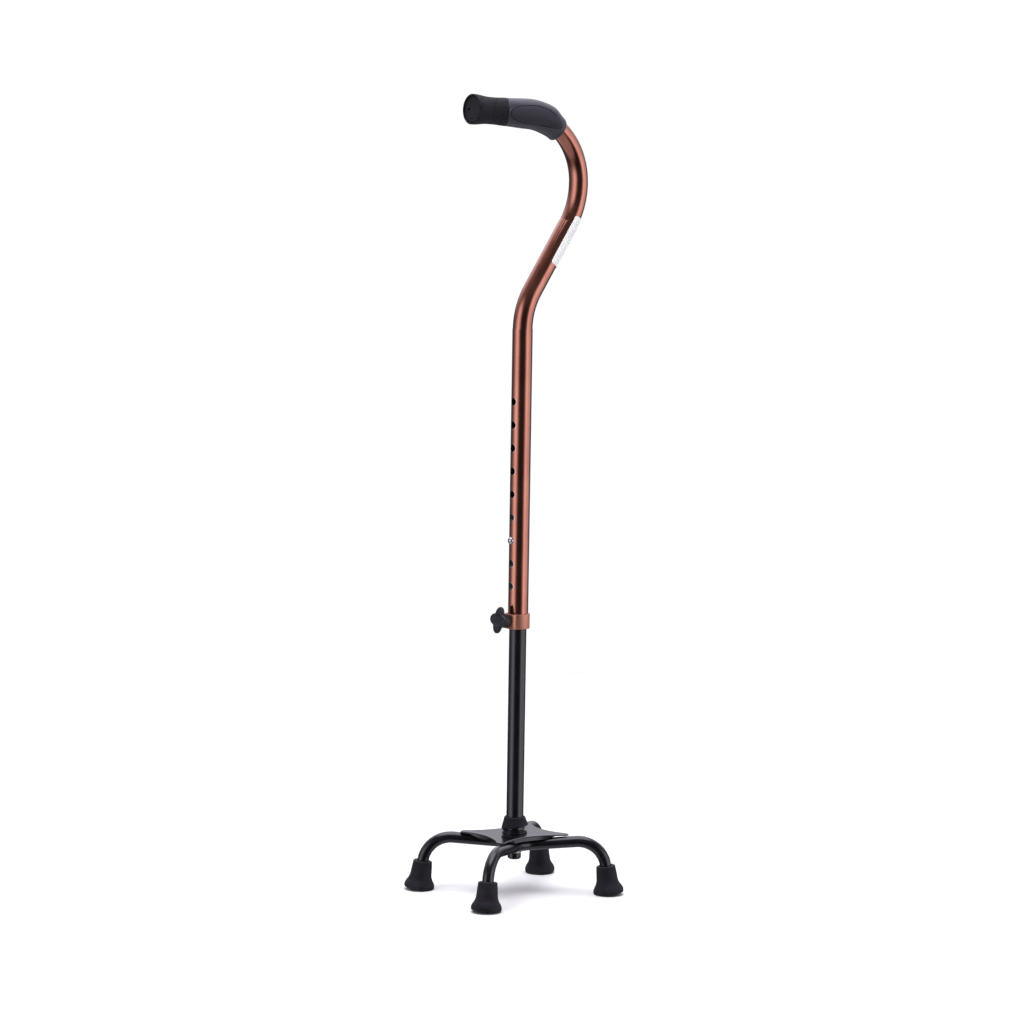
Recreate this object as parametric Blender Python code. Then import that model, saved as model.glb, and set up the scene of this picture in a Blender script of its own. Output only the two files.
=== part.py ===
"""Quad walking cane with an offset swan neck, a telescopic pole and a four-legged base.

Frame: metres, +Z up, +X forward (the way the grip points), +Y to the user's left.
The origin is on the floor, under the middle of the base and under the pole's axis.
"""
import math

import bmesh
import bpy
from mathutils import Matrix, Vector

MM = 0.001

# ---------------------------------------------------------------- driving sizes
GAP = 0.3 * MM                      # running or seating gap between two pieces

# telescopic pole
UPPER_R = 11.11 * MM                # 7/8 inch tube
UPPER_WALL = 1.2 * MM
LOWER_R = 9.52 * MM                 # 3/4 inch tube
LOWER_WALL = 1.2 * MM
LOWER_BOTTOM_Z = 67.0 * MM
LOWER_TOP_Z = 435.0 * MM
UPPER_BOTTOM_Z = 296.0 * MM
TUBE_SIDES = 20

# holes and snap button
HOLE_COUNT = 9
HOLE_PITCH = 25.4 * MM
HOLE_TOP_Z = 544.3 * MM
HOLE_R = 4.3 * MM
BUTTON_HOLE = 6                     # counted from the top, from zero
BUTTON_R = 3.8 * MM
BUTTON_PROUD = 3.2 * MM

# swan neck, walked from the foot of the upper tube
NECK_START_Z = 622.8 * MM
FIRST_BEND_R = 78.0 * MM
LEAN_BACK = math.radians(32.9)
SLANT_LENGTH = 84.0 * MM
BACK_BEND_R = 85.0 * MM
TOP_BEND_R = 74.5 * MM
TOP_TURN = math.radians(86.4)
GRIP_END_X = 72.0 * MM
TUBE_INSET = 4.0 * MM               # the tube ends this far inside the grip's front end
TOP_BEND_FLAT = 0.89                # a bent tube narrows in the plane of its bend
TOP_BEND_WIDE = 1.02

# grip
GRIP_R = 15.2 * MM
GRIP_PALM_R = 16.4 * MM
GRIP_SLEEVE_R = 14.6 * MM
GRIP_LIP_R = 16.4 * MM
GRIP_NECK_R = 15.0 * MM             # behind the palm, where the grip is cut off
GRIP_CROWN = 2.6 * MM               # the top side draws in to the tube there
GRIP_RAKE = 4.0 * MM                # and the top side is cut off sooner than the underside
GRIP_SLEEVE_LENGTH = 43.0 * MM
VENT_Y = -7.1 * MM                  # the vent sits to the right of the end disc's middle
VENT_R = 1.7 * MM
GRIP_ARC_LENGTH = 121.5 * MM        # along the tube, from the front end to the cut end

# blank label on the neck
LABEL_START = 35.0 * MM             # along the slant, from the first bend's end
LABEL_LENGTH = 60.0 * MM
LABEL_CENTRE = math.radians(132.0)  # round the tube from its front, over the left side
LABEL_HALF_WRAP = math.radians(59.0)

# clamp band
BAND_BOTTOM_Z = 294.5 * MM
BAND_HEIGHT = 16.4 * MM
BAND_R = 12.9 * MM
BAND_FRONT_X = 13.6 * MM
BAND_HALF_WIDTH = 9.0 * MM
BAND_WALL = 1.3 * MM
SLIT_WIDTH = 2.2 * MM
SLIT_TURN = math.radians(9.0)       # the slit sits a little to the left of the holes
SLIT_TOP_Z = 320.3 * MM

# clamp screw and knob
SCREW_TILT = math.radians(10.0)
SCREW_R = 3.0 * MM
KNOB_HUB_R = 7.8 * MM
KNOB_R = 14.7 * MM
KNOB_NOTCH_R = 9.6 * MM
KNOB_LOBES = 4
KNOB_PHASE = math.radians(-3.0)
KNOB_BACK_X = 15.7 * MM
KNOB_STAR_X = 24.2 * MM
KNOB_FRONT_X = 28.6 * MM

# base
FOOT_X = 82.5 * MM                  # middle of each sole
FOOT_Y = 65.5 * MM
LEG_R = 6.35 * MM                   # 1/2 inch tube
LEG_WALL = 1.4 * MM
LEG_SPLAY = 0.130                   # outward run of a leg for each unit of height
LEG_SLOPE = 0.075                   # fall of the run towards the middle
LEG_MID_Z = 53.6 * MM
LEG_BOW_Y = 9.5 * MM                # where the two straight runs of a tube would meet
LEG_BEND_R = 31.0 * MM
LEG_BOW_R = 30.0 * MM
LEG_SIDES = 16
PLATE_TOP_Z = 66.3 * MM
PLATE_THICKNESS = 1.8 * MM
PLATE_TIP_X = 46.5 * MM
PLATE_TIP_Y = 38.0 * MM
PLATE_WAIST_X = 37.5 * MM
PLATE_WAIST_Y = 27.4 * MM
PLATE_TIP_R = 5.5 * MM
PLATE_FLANGE = 5.2 * MM

# rubber ferrules
FERRULE_HEIGHT = 30.8 * MM
FERRULE_BASE_R = 16.7 * MM
FERRULE_RIM_R = 10.4 * MM
SOLE_WORN = 1.0 * MM                # depth of the flat worn on each tilted sole

# boot, socket and base bolt
BOOT_TOP_Z = 84.5 * MM
BOOT_LOW_Z = 72.9 * MM
BOOT_R = 14.6 * MM
BOOT_TOP_R = 11.3 * MM
BOOT_SKEW = 0.15                    # the boot's lower edge rises to one side
BOLT_R = 3.9 * MM
BOLT_HEAD_R = 7.4 * MM
BOLT_HEAD_LOW_Z = 36.8 * MM


# ---------------------------------------------------------------- scene and materials
def clear_scene():
    for obj in list(bpy.data.objects):
        bpy.data.objects.remove(obj, do_unlink=True)


def material(name, colour, roughness, metallic=0.0):
    mat = bpy.data.materials.new(name)
    mat.use_nodes = True
    shader = mat.node_tree.nodes["Principled BSDF"]
    shader.inputs["Base Color"].default_value = (*colour, 1.0)
    shader.inputs["Roughness"].default_value = roughness
    shader.inputs["Metallic"].default_value = metallic
    return mat


def make_materials():
    return {
        "copper_coat": material("copper_coat", (0.40, 0.135, 0.075), 0.25, 0.8),
        "black_gloss": material("black_gloss", (0.012, 0.012, 0.015), 0.15),
        "black_rubber": material("black_rubber", (0.020, 0.019, 0.022), 0.75),
        "grip_rubber": material("grip_rubber", (0.045, 0.043, 0.055), 0.55),
        "grip_rough": material("grip_rough", (0.026, 0.026, 0.030), 0.80),
        "grip_inlay": material("grip_inlay", (0.032, 0.031, 0.038), 0.70),
        "black_plastic": material("black_plastic", (0.030, 0.030, 0.036), 0.50),
        "steel": material("steel", (0.55, 0.55, 0.56), 0.25, 1.0),
        "zinc": material("zinc", (0.50, 0.50, 0.48), 0.40, 1.0),
        "nylon": material("nylon", (0.70, 0.69, 0.64), 0.50),
        "label_white": material("label_white", (0.80, 0.80, 0.82), 0.45),
    }


# ---------------------------------------------------------------- mesh helpers
def finish(name, bm, mat, parent=None, smooth_deg=35.0):
    """Turn a bmesh in world coordinates into a named object, its origin on its parent's."""
    bmesh.ops.remove_doubles(bm, verts=bm.verts, dist=1e-7)
    bmesh.ops.recalc_face_normals(bm, faces=bm.faces)
    mesh = bpy.data.meshes.new(name)
    if parent is not None:
        bm.transform(parent.matrix_world.inverted())
    bm.to_mesh(mesh)
    bm.free()
    mesh.materials.append(mat)
    mesh.shade_smooth()
    mesh.set_sharp_from_angle(angle=math.radians(smooth_deg))
    obj = bpy.data.objects.new(name, mesh)
    bpy.context.scene.collection.objects.link(obj)
    obj.parent = parent
    return obj


def joint_empty(name, location, tilt=0.0, parent=None):
    empty = bpy.data.objects.new(name, None)
    empty.empty_display_size = 0.02
    bpy.context.scene.collection.objects.link(empty)
    empty.matrix_world = Matrix.Translation(location) @ Matrix.Rotation(-tilt, 4, "Y")
    empty.parent = parent
    if parent is not None:
        empty.matrix_parent_inverse = parent.matrix_world.inverted()
    bpy.context.view_layer.update()
    return empty


def cutter(name, bm, target):
    """Subtract a closed bmesh from a target object; the cutter stays in the file as a guide."""
    bmesh.ops.recalc_face_normals(bm, faces=bm.faces)
    mesh = bpy.data.meshes.new(name)
    bm.to_mesh(mesh)
    bm.free()
    obj = bpy.data.objects.new(name, mesh)
    bpy.context.scene.collection.objects.link(obj)
    obj.hide_render = True
    obj.display_type = "WIRE"
    modifier = target.modifiers.new(name, "BOOLEAN")
    modifier.operation = "DIFFERENCE"
    modifier.object = obj


def loft(bm, rings, closed=False, caps=True):
    """Skin a list of rings of points; closed joins the last ring to the first."""
    rows = [[bm.verts.new(point) for point in ring] for ring in rings]
    pairs = list(zip(rows, rows[1:]))
    if closed:
        pairs.append((rows[-1], rows[0]))
    for low, high in pairs:
        count = len(low)
        for i in range(count):
            j = (i + 1) % count
            bm.faces.new((low[i], low[j], high[j], high[i]))
    if caps and not closed:
        bm.faces.new(rows[0])
        bm.faces.new(rows[-1])
    return bm


def ring(centre, u, v, radius_u, radius_v, sides, phase=0.0):
    points = []
    for i in range(sides):
        angle = phase + 2.0 * math.pi * i / sides
        points.append(centre + u * (radius_u * math.cos(angle)) + v * (radius_v * math.sin(angle)))
    return points


def turned(profile, sides, matrix=None):
    """Spin a closed (radius, height) outline about the Z axis."""
    bm = bmesh.new()
    verts = [bm.verts.new((radius, 0.0, height)) for radius, height in profile]
    edges = [bm.edges.new((verts[i], verts[(i + 1) % len(verts)])) for i in range(len(verts))]
    bmesh.ops.spin(bm, geom=verts + edges, cent=(0, 0, 0), axis=(0, 0, 1),
                   angle=2.0 * math.pi, steps=sides, use_merge=True)
    bmesh.ops.remove_doubles(bm, verts=bm.verts, dist=1e-7)
    bmesh.ops.dissolve_degenerate(bm, edges=bm.edges, dist=1e-7)
    if matrix is not None:
        bm.transform(matrix)
    return bm


def rod(start, end, radius, sides):
    """A plain closed rod between two points."""
    axis = (end - start).normalized()
    side = axis.orthogonal().normalized()
    other = axis.cross(side)
    bm = bmesh.new()
    return loft(bm, [ring(start, side, other, radius, radius, sides),
                     ring(end, side, other, radius, radius, sides)])


def block(low, high):
    bm = bmesh.new()
    corners = [(low[0], low[1]), (high[0], low[1]), (high[0], high[1]), (low[0], high[1])]
    return loft(bm, [[Vector((x, y, low[2])) for x, y in corners],
                     [Vector((x, y, high[2])) for x, y in corners]])


# ---------------------------------------------------------------- paths
class Walker:
    """Walks a path in the XZ plane: straight runs and arcs, heading measured back from +Z."""

    def __init__(self, x, z):
        self.x, self.z, self.heading, self.length = x, z, 0.0, 0.0
        self.stations = [(x, z, 0.0, 0.0, 0.0)]

    def record(self, bend):
        self.stations.append((self.x, self.z, self.heading, self.length, bend))

    def straight(self, distance, steps=1, bend_after=0.0):
        for _ in range(steps):
            self.x -= math.sin(self.heading) * distance / steps
            self.z += math.cos(self.heading) * distance / steps
            self.length += distance / steps
            self.record(bend_after)

    def arc(self, radius, turn, steps, bend=1.0):
        step = turn / steps
        chord = 2.0 * radius * math.sin(abs(step) / 2.0)
        for _ in range(steps):
            self.heading += step / 2.0
            self.x -= math.sin(self.heading) * chord
            self.z += math.cos(self.heading) * chord
            self.heading += step / 2.0
            self.length += radius * abs(step)
            self.record(bend)


def neck_path():
    walker = Walker(0.0, UPPER_BOTTOM_Z)
    walker.straight(NECK_START_Z - UPPER_BOTTOM_Z)
    walker.arc(FIRST_BEND_R, LEAN_BACK, 5, 0.4)
    walker.straight(SLANT_LENGTH, 1, 0.4)
    walker.arc(BACK_BEND_R, -LEAN_BACK, 4, 0.9)
    walker.arc(TOP_BEND_R, -TOP_TURN, 9, 1.0)
    walker.straight(12.0 * MM)
    end = (GRIP_END_X - TUBE_INSET - walker.x) / -math.sin(walker.heading)
    walker.straight(end)
    return walker.stations


def neck_frame(station):
    """Centre, forward normal in the bend plane and tangent at a station of the neck."""
    x, z, heading, _, _ = station
    centre = Vector((x, 0.0, z))
    tangent = Vector((-math.sin(heading), 0.0, math.cos(heading)))
    outward = Vector((math.cos(heading), 0.0, math.sin(heading)))
    return centre, outward, tangent


def neck_point(length):
    """Station of the swan neck at a length along the tube."""
    stations = neck_path()
    for a, b in zip(stations, stations[1:]):
        if length <= b[3]:
            t = (length - a[3]) / (b[3] - a[3])
            return tuple(p + (q - p) * t for p, q in zip(a, b))
    return stations[-1]


def rounded_path(points, radii, steps):
    """Straight runs through points with an arc of the given radius at each inner point."""
    path = [Vector(points[0])]
    for before, corner, after, radius in zip(points, points[1:], points[2:], radii):
        before, corner, after = Vector(before), Vector(corner), Vector(after)
        into = (corner - before).normalized()
        out = (after - corner).normalized()
        turn = into.angle(out)
        reach = radius * math.tan(turn / 2.0)
        centre_way = (out - into).normalized()
        centre = corner + centre_way * (radius / math.cos(turn / 2.0))
        start = corner - into * reach
        axis = into.cross(out).normalized()
        for i in range(steps + 1):
            spin = Matrix.Rotation(turn * i / steps, 3, axis)
            path.append(centre + spin @ (start - centre))
    path.append(Vector(points[-1]))
    return path


def tube_rings(path, radius, sides, first_side):
    """Rings along a path, carried without twist from the first side direction."""
    rings = []
    side = Vector(first_side)
    for i, point in enumerate(path):
        before = path[max(i - 1, 0)]
        after = path[min(i + 1, len(path) - 1)]
        tangent = (after - before).normalized()
        side = (side - tangent * side.dot(tangent)).normalized()
        rings.append(ring(point, side, tangent.cross(side), radius, radius, sides))
    return rings


# ---------------------------------------------------------------- base
def star_outline(tip_steps=3, edge_steps=7):
    """Outline of the base plate: four rounded tips joined by four hollow arcs."""
    points = []
    for quarter in range(4):
        sx = (1, -1, -1, 1)[quarter]
        sy = (1, 1, -1, -1)[quarter]
        tip_angle = math.atan2(sy * PLATE_TIP_Y, sx * PLATE_TIP_X)
        tip = Vector((sx * PLATE_TIP_X, sy * PLATE_TIP_Y, 0.0))
        inward = -tip.normalized() * PLATE_TIP_R
        for i in range(tip_steps + 1):
            angle = tip_angle + math.radians(-60.0 + 120.0 * i / tip_steps)
            points.append(tip + inward + Vector((math.cos(angle), math.sin(angle), 0.0)) * PLATE_TIP_R)
        following = (quarter + 1) % 4
        nx = (1, -1, -1, 1)[following]
        ny = (1, 1, -1, -1)[following]
        next_tip = Vector((nx * PLATE_TIP_X, ny * PLATE_TIP_Y, 0.0))
        next_angle = math.atan2(next_tip.y, next_tip.x) - math.radians(60.0)
        start = points[-1]
        end = (next_tip - next_tip.normalized() * PLATE_TIP_R
               + Vector((math.cos(next_angle), math.sin(next_angle), 0.0)) * PLATE_TIP_R)
        waist = Vector((0.0, sy * PLATE_WAIST_Y, 0.0)) if nx != sx else Vector((sx * PLATE_WAIST_X, 0.0, 0.0))
        pull = waist * 2.0 - (start + end) / 2.0
        for i in range(1, edge_steps + 1):
            t = i / (edge_steps + 1)
            points.append(start * (1 - t) ** 2 + pull * (2 * t * (1 - t)) + end * t ** 2)
    return points


def inset_outline(points, distance):
    """Move each point of an anticlockwise outline inwards along its mean normal."""
    moved = []
    count = len(points)
    for i, point in enumerate(points):
        before = (point - points[i - 1]).normalized()
        after = (points[(i + 1) % count] - point).normalized()
        mean = (before + after).normalized()
        inward = Vector((-mean.y, mean.x, 0.0))
        moved.append(point + inward * (distance / max(inward.dot(Vector((-after.y, after.x, 0.0))), 0.5)))
    return moved


def flange_depth(point):
    """The flange is deepest at the waists and runs out before the tips."""
    reach = math.hypot(point.x / PLATE_TIP_X, point.y / PLATE_TIP_Y) / math.sqrt(2.0)
    depth = (PLATE_FLANGE - PLATE_THICKNESS) * min(1.0, max(0.0, (0.80 - reach) / 0.16))
    return PLATE_THICKNESS + 0.05 * MM + depth


def lifted(points, z):
    return [Vector((p.x, p.y, z)) for p in points]


def make_base_plate(mats):
    outline = star_outline()
    count = len(outline)
    edge = inset_outline(outline, 0.0)
    soft = inset_outline(outline, 0.6 * MM)
    flat = inset_outline(outline, 2.0 * MM)
    inner = inset_outline(outline, PLATE_THICKNESS)
    hole = [Vector((p.x, p.y, 0.0)).normalized() * (BOLT_R + GAP + 0.2 * MM) for p in outline]
    under_z = PLATE_TOP_Z - PLATE_THICKNESS
    rings = [
        lifted(hole, PLATE_TOP_Z),
        lifted(flat, PLATE_TOP_Z),
        lifted(soft, PLATE_TOP_Z - 0.5 * MM),
        lifted(edge, PLATE_TOP_Z - 1.5 * MM),
        [Vector((p.x, p.y, PLATE_TOP_Z - flange_depth(p))) for p in edge],
        [Vector((q.x, q.y, PLATE_TOP_Z - flange_depth(p))) for p, q in zip(edge, inner)],
        lifted(inner, under_z),
        lifted(hole, under_z),
    ]
    assert all(len(r) == count for r in rings)
    finish("base_plate", loft(bmesh.new(), rings, closed=True), mats["black_gloss"])


def leg_axis(sign_x, sign_y):
    """Middle of the sole, and the corner where the leg meets the run towards the middle."""
    foot = Vector((sign_x * FOOT_X, sign_y * FOOT_Y, 0.0))
    bow = Vector((0.0, sign_y * LEG_BOW_Y, LEG_MID_Z))
    plan = (foot - Vector((0.0, bow.y, 0.0)))
    reach = plan.length
    way = plan.normalized()
    corner_z = (LEG_MID_Z + LEG_SLOPE * reach) / (1.0 + LEG_SLOPE * LEG_SPLAY)
    corner = foot - way * (LEG_SPLAY * corner_z) + Vector((0.0, 0.0, corner_z))
    return foot, corner, way


def leg_down(sign_x, sign_y):
    """Unit vector from a leg's top to its foot."""
    foot, corner, _ = leg_axis(sign_x, sign_y)
    return (foot - corner).normalized()


def sole_centre(sign_x, sign_y):
    """The sole is tilted; its inner edge stands on the floor, worn flat by SOLE_WORN."""
    foot, _, _ = leg_axis(sign_x, sign_y)
    down = leg_down(sign_x, sign_y)
    tilt = math.acos(-down.z)
    return foot - down * ((FERRULE_BASE_R * math.sin(tilt) - SOLE_WORN) / math.cos(tilt))


def make_leg_tube(side_name, sign_y, mats):
    ends = []
    for sign_x in (1, -1):
        foot, corner, _ = leg_axis(sign_x, sign_y)
        down = leg_down(sign_x, sign_y)
        ends.append((sole_centre(sign_x, sign_y) - down * (8.6 * MM), corner))
    middle = Vector((0.0, sign_y * LEG_BOW_Y, LEG_MID_Z))
    points = [ends[0][0], ends[0][1], middle, ends[1][1], ends[1][0]]
    path = rounded_path(points, [LEG_BEND_R, LEG_BOW_R, LEG_BEND_R], 7)
    outer = tube_rings(path, LEG_R, LEG_SIDES, (0, 1, 0))
    inner = tube_rings(path, LEG_R - LEG_WALL, LEG_SIDES, (0, 1, 0))
    bm = loft(bmesh.new(), outer + inner[::-1], closed=True)
    finish("leg_tube_" + side_name, bm, mats["black_gloss"])


def ferrule_profile():
    """Closed outline of a rubber tip, radius and height above its sole."""
    bore = LEG_R + 1.5 * GAP
    return [
        (0.0, 0.0),
        (FERRULE_BASE_R - 0.5 * MM, 0.0),
        (FERRULE_BASE_R, 0.8 * MM),
        (FERRULE_BASE_R, 3.6 * MM),
        (FERRULE_BASE_R - 0.5 * MM, 5.4 * MM),
        (14.4 * MM, 8.4 * MM),
        (12.9 * MM, 11.0 * MM),
        (12.0 * MM, 14.0 * MM),
        (FERRULE_RIM_R + 0.3 * MM, FERRULE_HEIGHT - 2.2 * MM),
        (FERRULE_RIM_R, FERRULE_HEIGHT - 0.7 * MM),
        (FERRULE_RIM_R - 0.8 * MM, FERRULE_HEIGHT),
        (bore, FERRULE_HEIGHT),
        (bore, 6.2 * MM),
        (0.0, 6.2 * MM),
    ]


def make_ferrule(name, sign_x, sign_y, mats):
    down = leg_down(sign_x, sign_y)
    centre = sole_centre(sign_x, sign_y)
    spin = Vector((0.0, 0.0, 1.0)).rotation_difference(-down).to_matrix().to_4x4()
    place = Matrix.Translation(centre) @ spin
    obj = finish("ferrule_" + name, turned(ferrule_profile(), LEG_SIDES, place), mats["black_rubber"])
    reach = 30.0 * MM
    floor = block((centre.x - reach, centre.y - reach, -reach), (centre.x + reach, centre.y + reach, 0.0))
    cutter("floor_cut_" + name, floor, obj)
    washer = [
        (0.0, 6.5 * MM),
        (LEG_R - 0.1 * MM, 6.5 * MM),
        (LEG_R - 0.1 * MM, 8.2 * MM),
        (0.0, 8.2 * MM),
    ]
    finish("tip_washer_" + name, turned(washer, LEG_SIDES, place), mats["zinc"])


def make_socket(mats):
    bore = LOWER_R + GAP
    foot_z = PLATE_TOP_Z + GAP
    profile = [
        (bore, foot_z),
        (14.0 * MM, foot_z),
        (14.0 * MM, foot_z + 1.4 * MM),
        (12.3 * MM, foot_z + 1.7 * MM),
        (12.3 * MM, foot_z + 2.3 * MM),
        (13.6 * MM, foot_z + 2.6 * MM),
        (13.6 * MM, foot_z + 3.4 * MM),
        (10.9 * MM, foot_z + 3.7 * MM),
        (10.9 * MM, BOOT_TOP_Z - 2.6 * MM),
        (bore, BOOT_TOP_Z - 2.6 * MM),
    ]
    finish("tube_socket", turned(profile, TUBE_SIDES), mats["black_gloss"])


def make_boot(mats):
    """Rubber collar; its lower edge is skewed, as a soft boot sits on its socket."""
    bore = 10.9 * MM + GAP
    lip = LOWER_R + GAP
    profile = [
        (bore, BOOT_LOW_Z),
        (BOOT_R, BOOT_LOW_Z),
        (BOOT_R, BOOT_LOW_Z + 1.6 * MM),
        (BOOT_TOP_R + 0.3 * MM, BOOT_TOP_Z - 0.8 * MM),
        (BOOT_TOP_R - 0.5 * MM, BOOT_TOP_Z),
        (lip, BOOT_TOP_Z),
        (lip, BOOT_TOP_Z - 2.2 * MM),
        (bore, BOOT_TOP_Z - 2.2 * MM),
    ]
    bm = turned(profile, TUBE_SIDES)
    to_side = Vector((-0.816, 0.578))
    middle = (BOOT_TOP_Z + BOOT_LOW_Z) / 2.0
    for vert in bm.verts:
        if vert.co.z < middle:
            vert.co.z += BOOT_SKEW * (vert.co.x * to_side.x + vert.co.y * to_side.y)
    finish("boot", bm, mats["black_rubber"])


def make_base_fasteners(mats):
    plug_r = LOWER_R - LOWER_WALL - GAP
    thread_r = BOLT_R + 1.5 * GAP
    plug = [
        (thread_r, LOWER_BOTTOM_Z + 0.5 * MM),
        (plug_r, LOWER_BOTTOM_Z + 0.5 * MM),
        (plug_r, 92.0 * MM),
        (thread_r, 92.0 * MM),
    ]
    finish("bottom_plug", turned(plug, TUBE_SIDES), mats["zinc"])
    head_top = BOLT_HEAD_LOW_Z + 7.0 * MM
    bolt = [
        (0.0, BOLT_HEAD_LOW_Z),
        (BOLT_HEAD_R - 1.4 * MM, BOLT_HEAD_LOW_Z),
        (BOLT_HEAD_R, BOLT_HEAD_LOW_Z + 1.2 * MM),
        (BOLT_HEAD_R, head_top),
        (BOLT_R, head_top),
        (BOLT_R, 88.0 * MM),
        (0.0, 88.0 * MM),
    ]
    finish("base_bolt", turned(bolt, LEG_SIDES), mats["black_gloss"])
    washer_low = head_top + GAP
    washer_top = washer_low + 1.8 * MM
    washer = [
        (thread_r, washer_low),
        (BOLT_HEAD_R + 0.6 * MM, washer_low),
        (BOLT_HEAD_R + 0.6 * MM, washer_top),
        (thread_r, washer_top),
    ]
    finish("bolt_washer", turned(washer, LEG_SIDES), mats["zinc"])
    spacer = [
        (thread_r, washer_top + GAP),
        (BOLT_HEAD_R, washer_top + GAP),
        (BOLT_HEAD_R, PLATE_TOP_Z - PLATE_THICKNESS - GAP),
        (thread_r, PLATE_TOP_Z - PLATE_THICKNESS - GAP),
    ]
    finish("base_spacer", turned(spacer, LEG_SIDES), mats["black_gloss"])


# ---------------------------------------------------------------- lower tube and button
def make_lower_tube(mats):
    inner = LOWER_R - LOWER_WALL
    profile = [
        (inner, LOWER_BOTTOM_Z),
        (LOWER_R, LOWER_BOTTOM_Z),
        (LOWER_R, LOWER_TOP_Z),
        (inner, LOWER_TOP_Z),
    ]
    tube = finish("lower_tube", turned(profile, TUBE_SIDES), mats["black_gloss"])
    z = button_z()
    hole = rod(Vector((4.0 * MM, 0.0, z)), Vector((14.0 * MM, 0.0, z)), HOLE_R, 12)
    cutter("button_hole_cut", hole, tube)


def button_z():
    return HOLE_TOP_Z - BUTTON_HOLE * HOLE_PITCH


def make_guide_bush(mats):
    plug_r = LOWER_R - LOWER_WALL - GAP
    bore = plug_r - 1.6 * MM
    profile = [
        (bore, LOWER_TOP_Z - 14.0 * MM),
        (plug_r, LOWER_TOP_Z - 14.0 * MM),
        (plug_r, LOWER_TOP_Z + GAP),
        (LOWER_R, LOWER_TOP_Z + GAP),
        (LOWER_R, LOWER_TOP_Z + 2.4 * MM),
        (bore, LOWER_TOP_Z + 2.4 * MM),
    ]
    finish("guide_bush", turned(profile, TUBE_SIDES), mats["nylon"])


def make_snap_button(parent, mats):
    """Domed pin on the X axis of its hole."""
    back = 7.1 * MM
    tip = UPPER_R + BUTTON_PROUD
    shoulder = tip - 2.6 * MM
    profile = [(0.0, back), (BUTTON_R, back), (BUTTON_R, shoulder)]
    for i in range(1, 4):
        angle = math.pi / 2.0 * i / 4
        profile.append((BUTTON_R * math.cos(angle), shoulder + (tip - shoulder) * math.sin(angle)))
    profile.append((0.0, tip))
    place = Matrix.Translation((0.0, 0.0, button_z())) @ Matrix.Rotation(math.pi / 2.0, 4, "Y")
    finish("snap_button", turned(profile, 16, place), mats["steel"], parent)


def make_snap_spring(parent, mats):
    """V of flat spring steel: one arm carries the button, the other leans on the tube."""
    z = button_z()
    thickness = 0.6 * MM
    half_width = 3.6 * MM
    points = [
        (6.4 * MM, 0.0, z + 9.0 * MM),
        (6.4 * MM, 0.0, z - 7.0 * MM),
        (0.0, 0.0, z - 44.0 * MM),
        (-6.6 * MM, 0.0, z + 4.0 * MM),
    ]
    path = rounded_path(points, [12.0 * MM, 2.2 * MM], 4)
    rings = []
    for i, point in enumerate(path):
        before = path[max(i - 1, 0)]
        after = path[min(i + 1, len(path) - 1)]
        tangent = (after - before).normalized()
        normal = Vector((0.0, 1.0, 0.0)).cross(tangent) * (thickness / 2.0)
        wide = Vector((0.0, half_width, 0.0))
        rings.append([point + normal + wide, point + normal - wide,
                      point - normal - wide, point - normal + wide])
    finish("snap_spring", loft(bmesh.new(), rings), mats["steel"], parent)


# ---------------------------------------------------------------- upper tube and neck
def oval(station, radius):
    """Half widths of the tube in and across the bend plane."""
    bend = station[4]
    return (radius * (1.0 - (1.0 - TOP_BEND_FLAT) * bend),
            radius * (1.0 + (TOP_BEND_WIDE - 1.0) * bend))


def neck_rings(stations, radius, sides):
    rings = []
    for station in stations:
        centre, outward, _ = neck_frame(station)
        radius_in, radius_across = oval(station, radius)
        rings.append(ring(centre, outward, Vector((0, 1, 0)), radius_in, radius_across, sides))
    return rings


def make_upper_tube(parent, mats):
    stations = neck_path()
    outer = neck_rings(stations, UPPER_R, TUBE_SIDES)
    inner = neck_rings(stations, UPPER_R - UPPER_WALL, TUBE_SIDES)
    tube = finish("upper_tube", loft(bmesh.new(), outer + inner[::-1], closed=True),
                  mats["copper_coat"], parent)
    for i in range(HOLE_COUNT):
        z = HOLE_TOP_Z - i * HOLE_PITCH
        hole = rod(Vector((5.0 * MM, 0.0, z)), Vector((14.0 * MM, 0.0, z)), HOLE_R, 12)
        cutter("hole_cut_%d" % (i + 1), hole, tube)
    half = SLIT_WIDTH / 2.0
    slit = block((5.0 * MM, -half, UPPER_BOTTOM_Z - 5.0 * MM), (14.0 * MM, half, SLIT_TOP_Z))
    slit.transform(Matrix.Rotation(SLIT_TURN, 4, "Z"))
    cutter("slit_cut", slit, tube)
    middle = BAND_BOTTOM_Z + BAND_HEIGHT / 2.0
    window = block((5.0 * MM, -6.2 * MM, middle - 6.2 * MM), (14.0 * MM, 6.2 * MM, middle + 6.2 * MM))
    cutter("nut_window_cut", window, tube)


def band_radius(angle, circle_r, front_x, half_width):
    """A circle with a squared-off flat front."""
    if math.cos(angle) <= 0.0:
        return circle_r
    across = abs(math.sin(angle))
    square = min(front_x / math.cos(angle), half_width / across if across > 1e-6 else 1e9)
    return max(circle_r, square)


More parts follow.
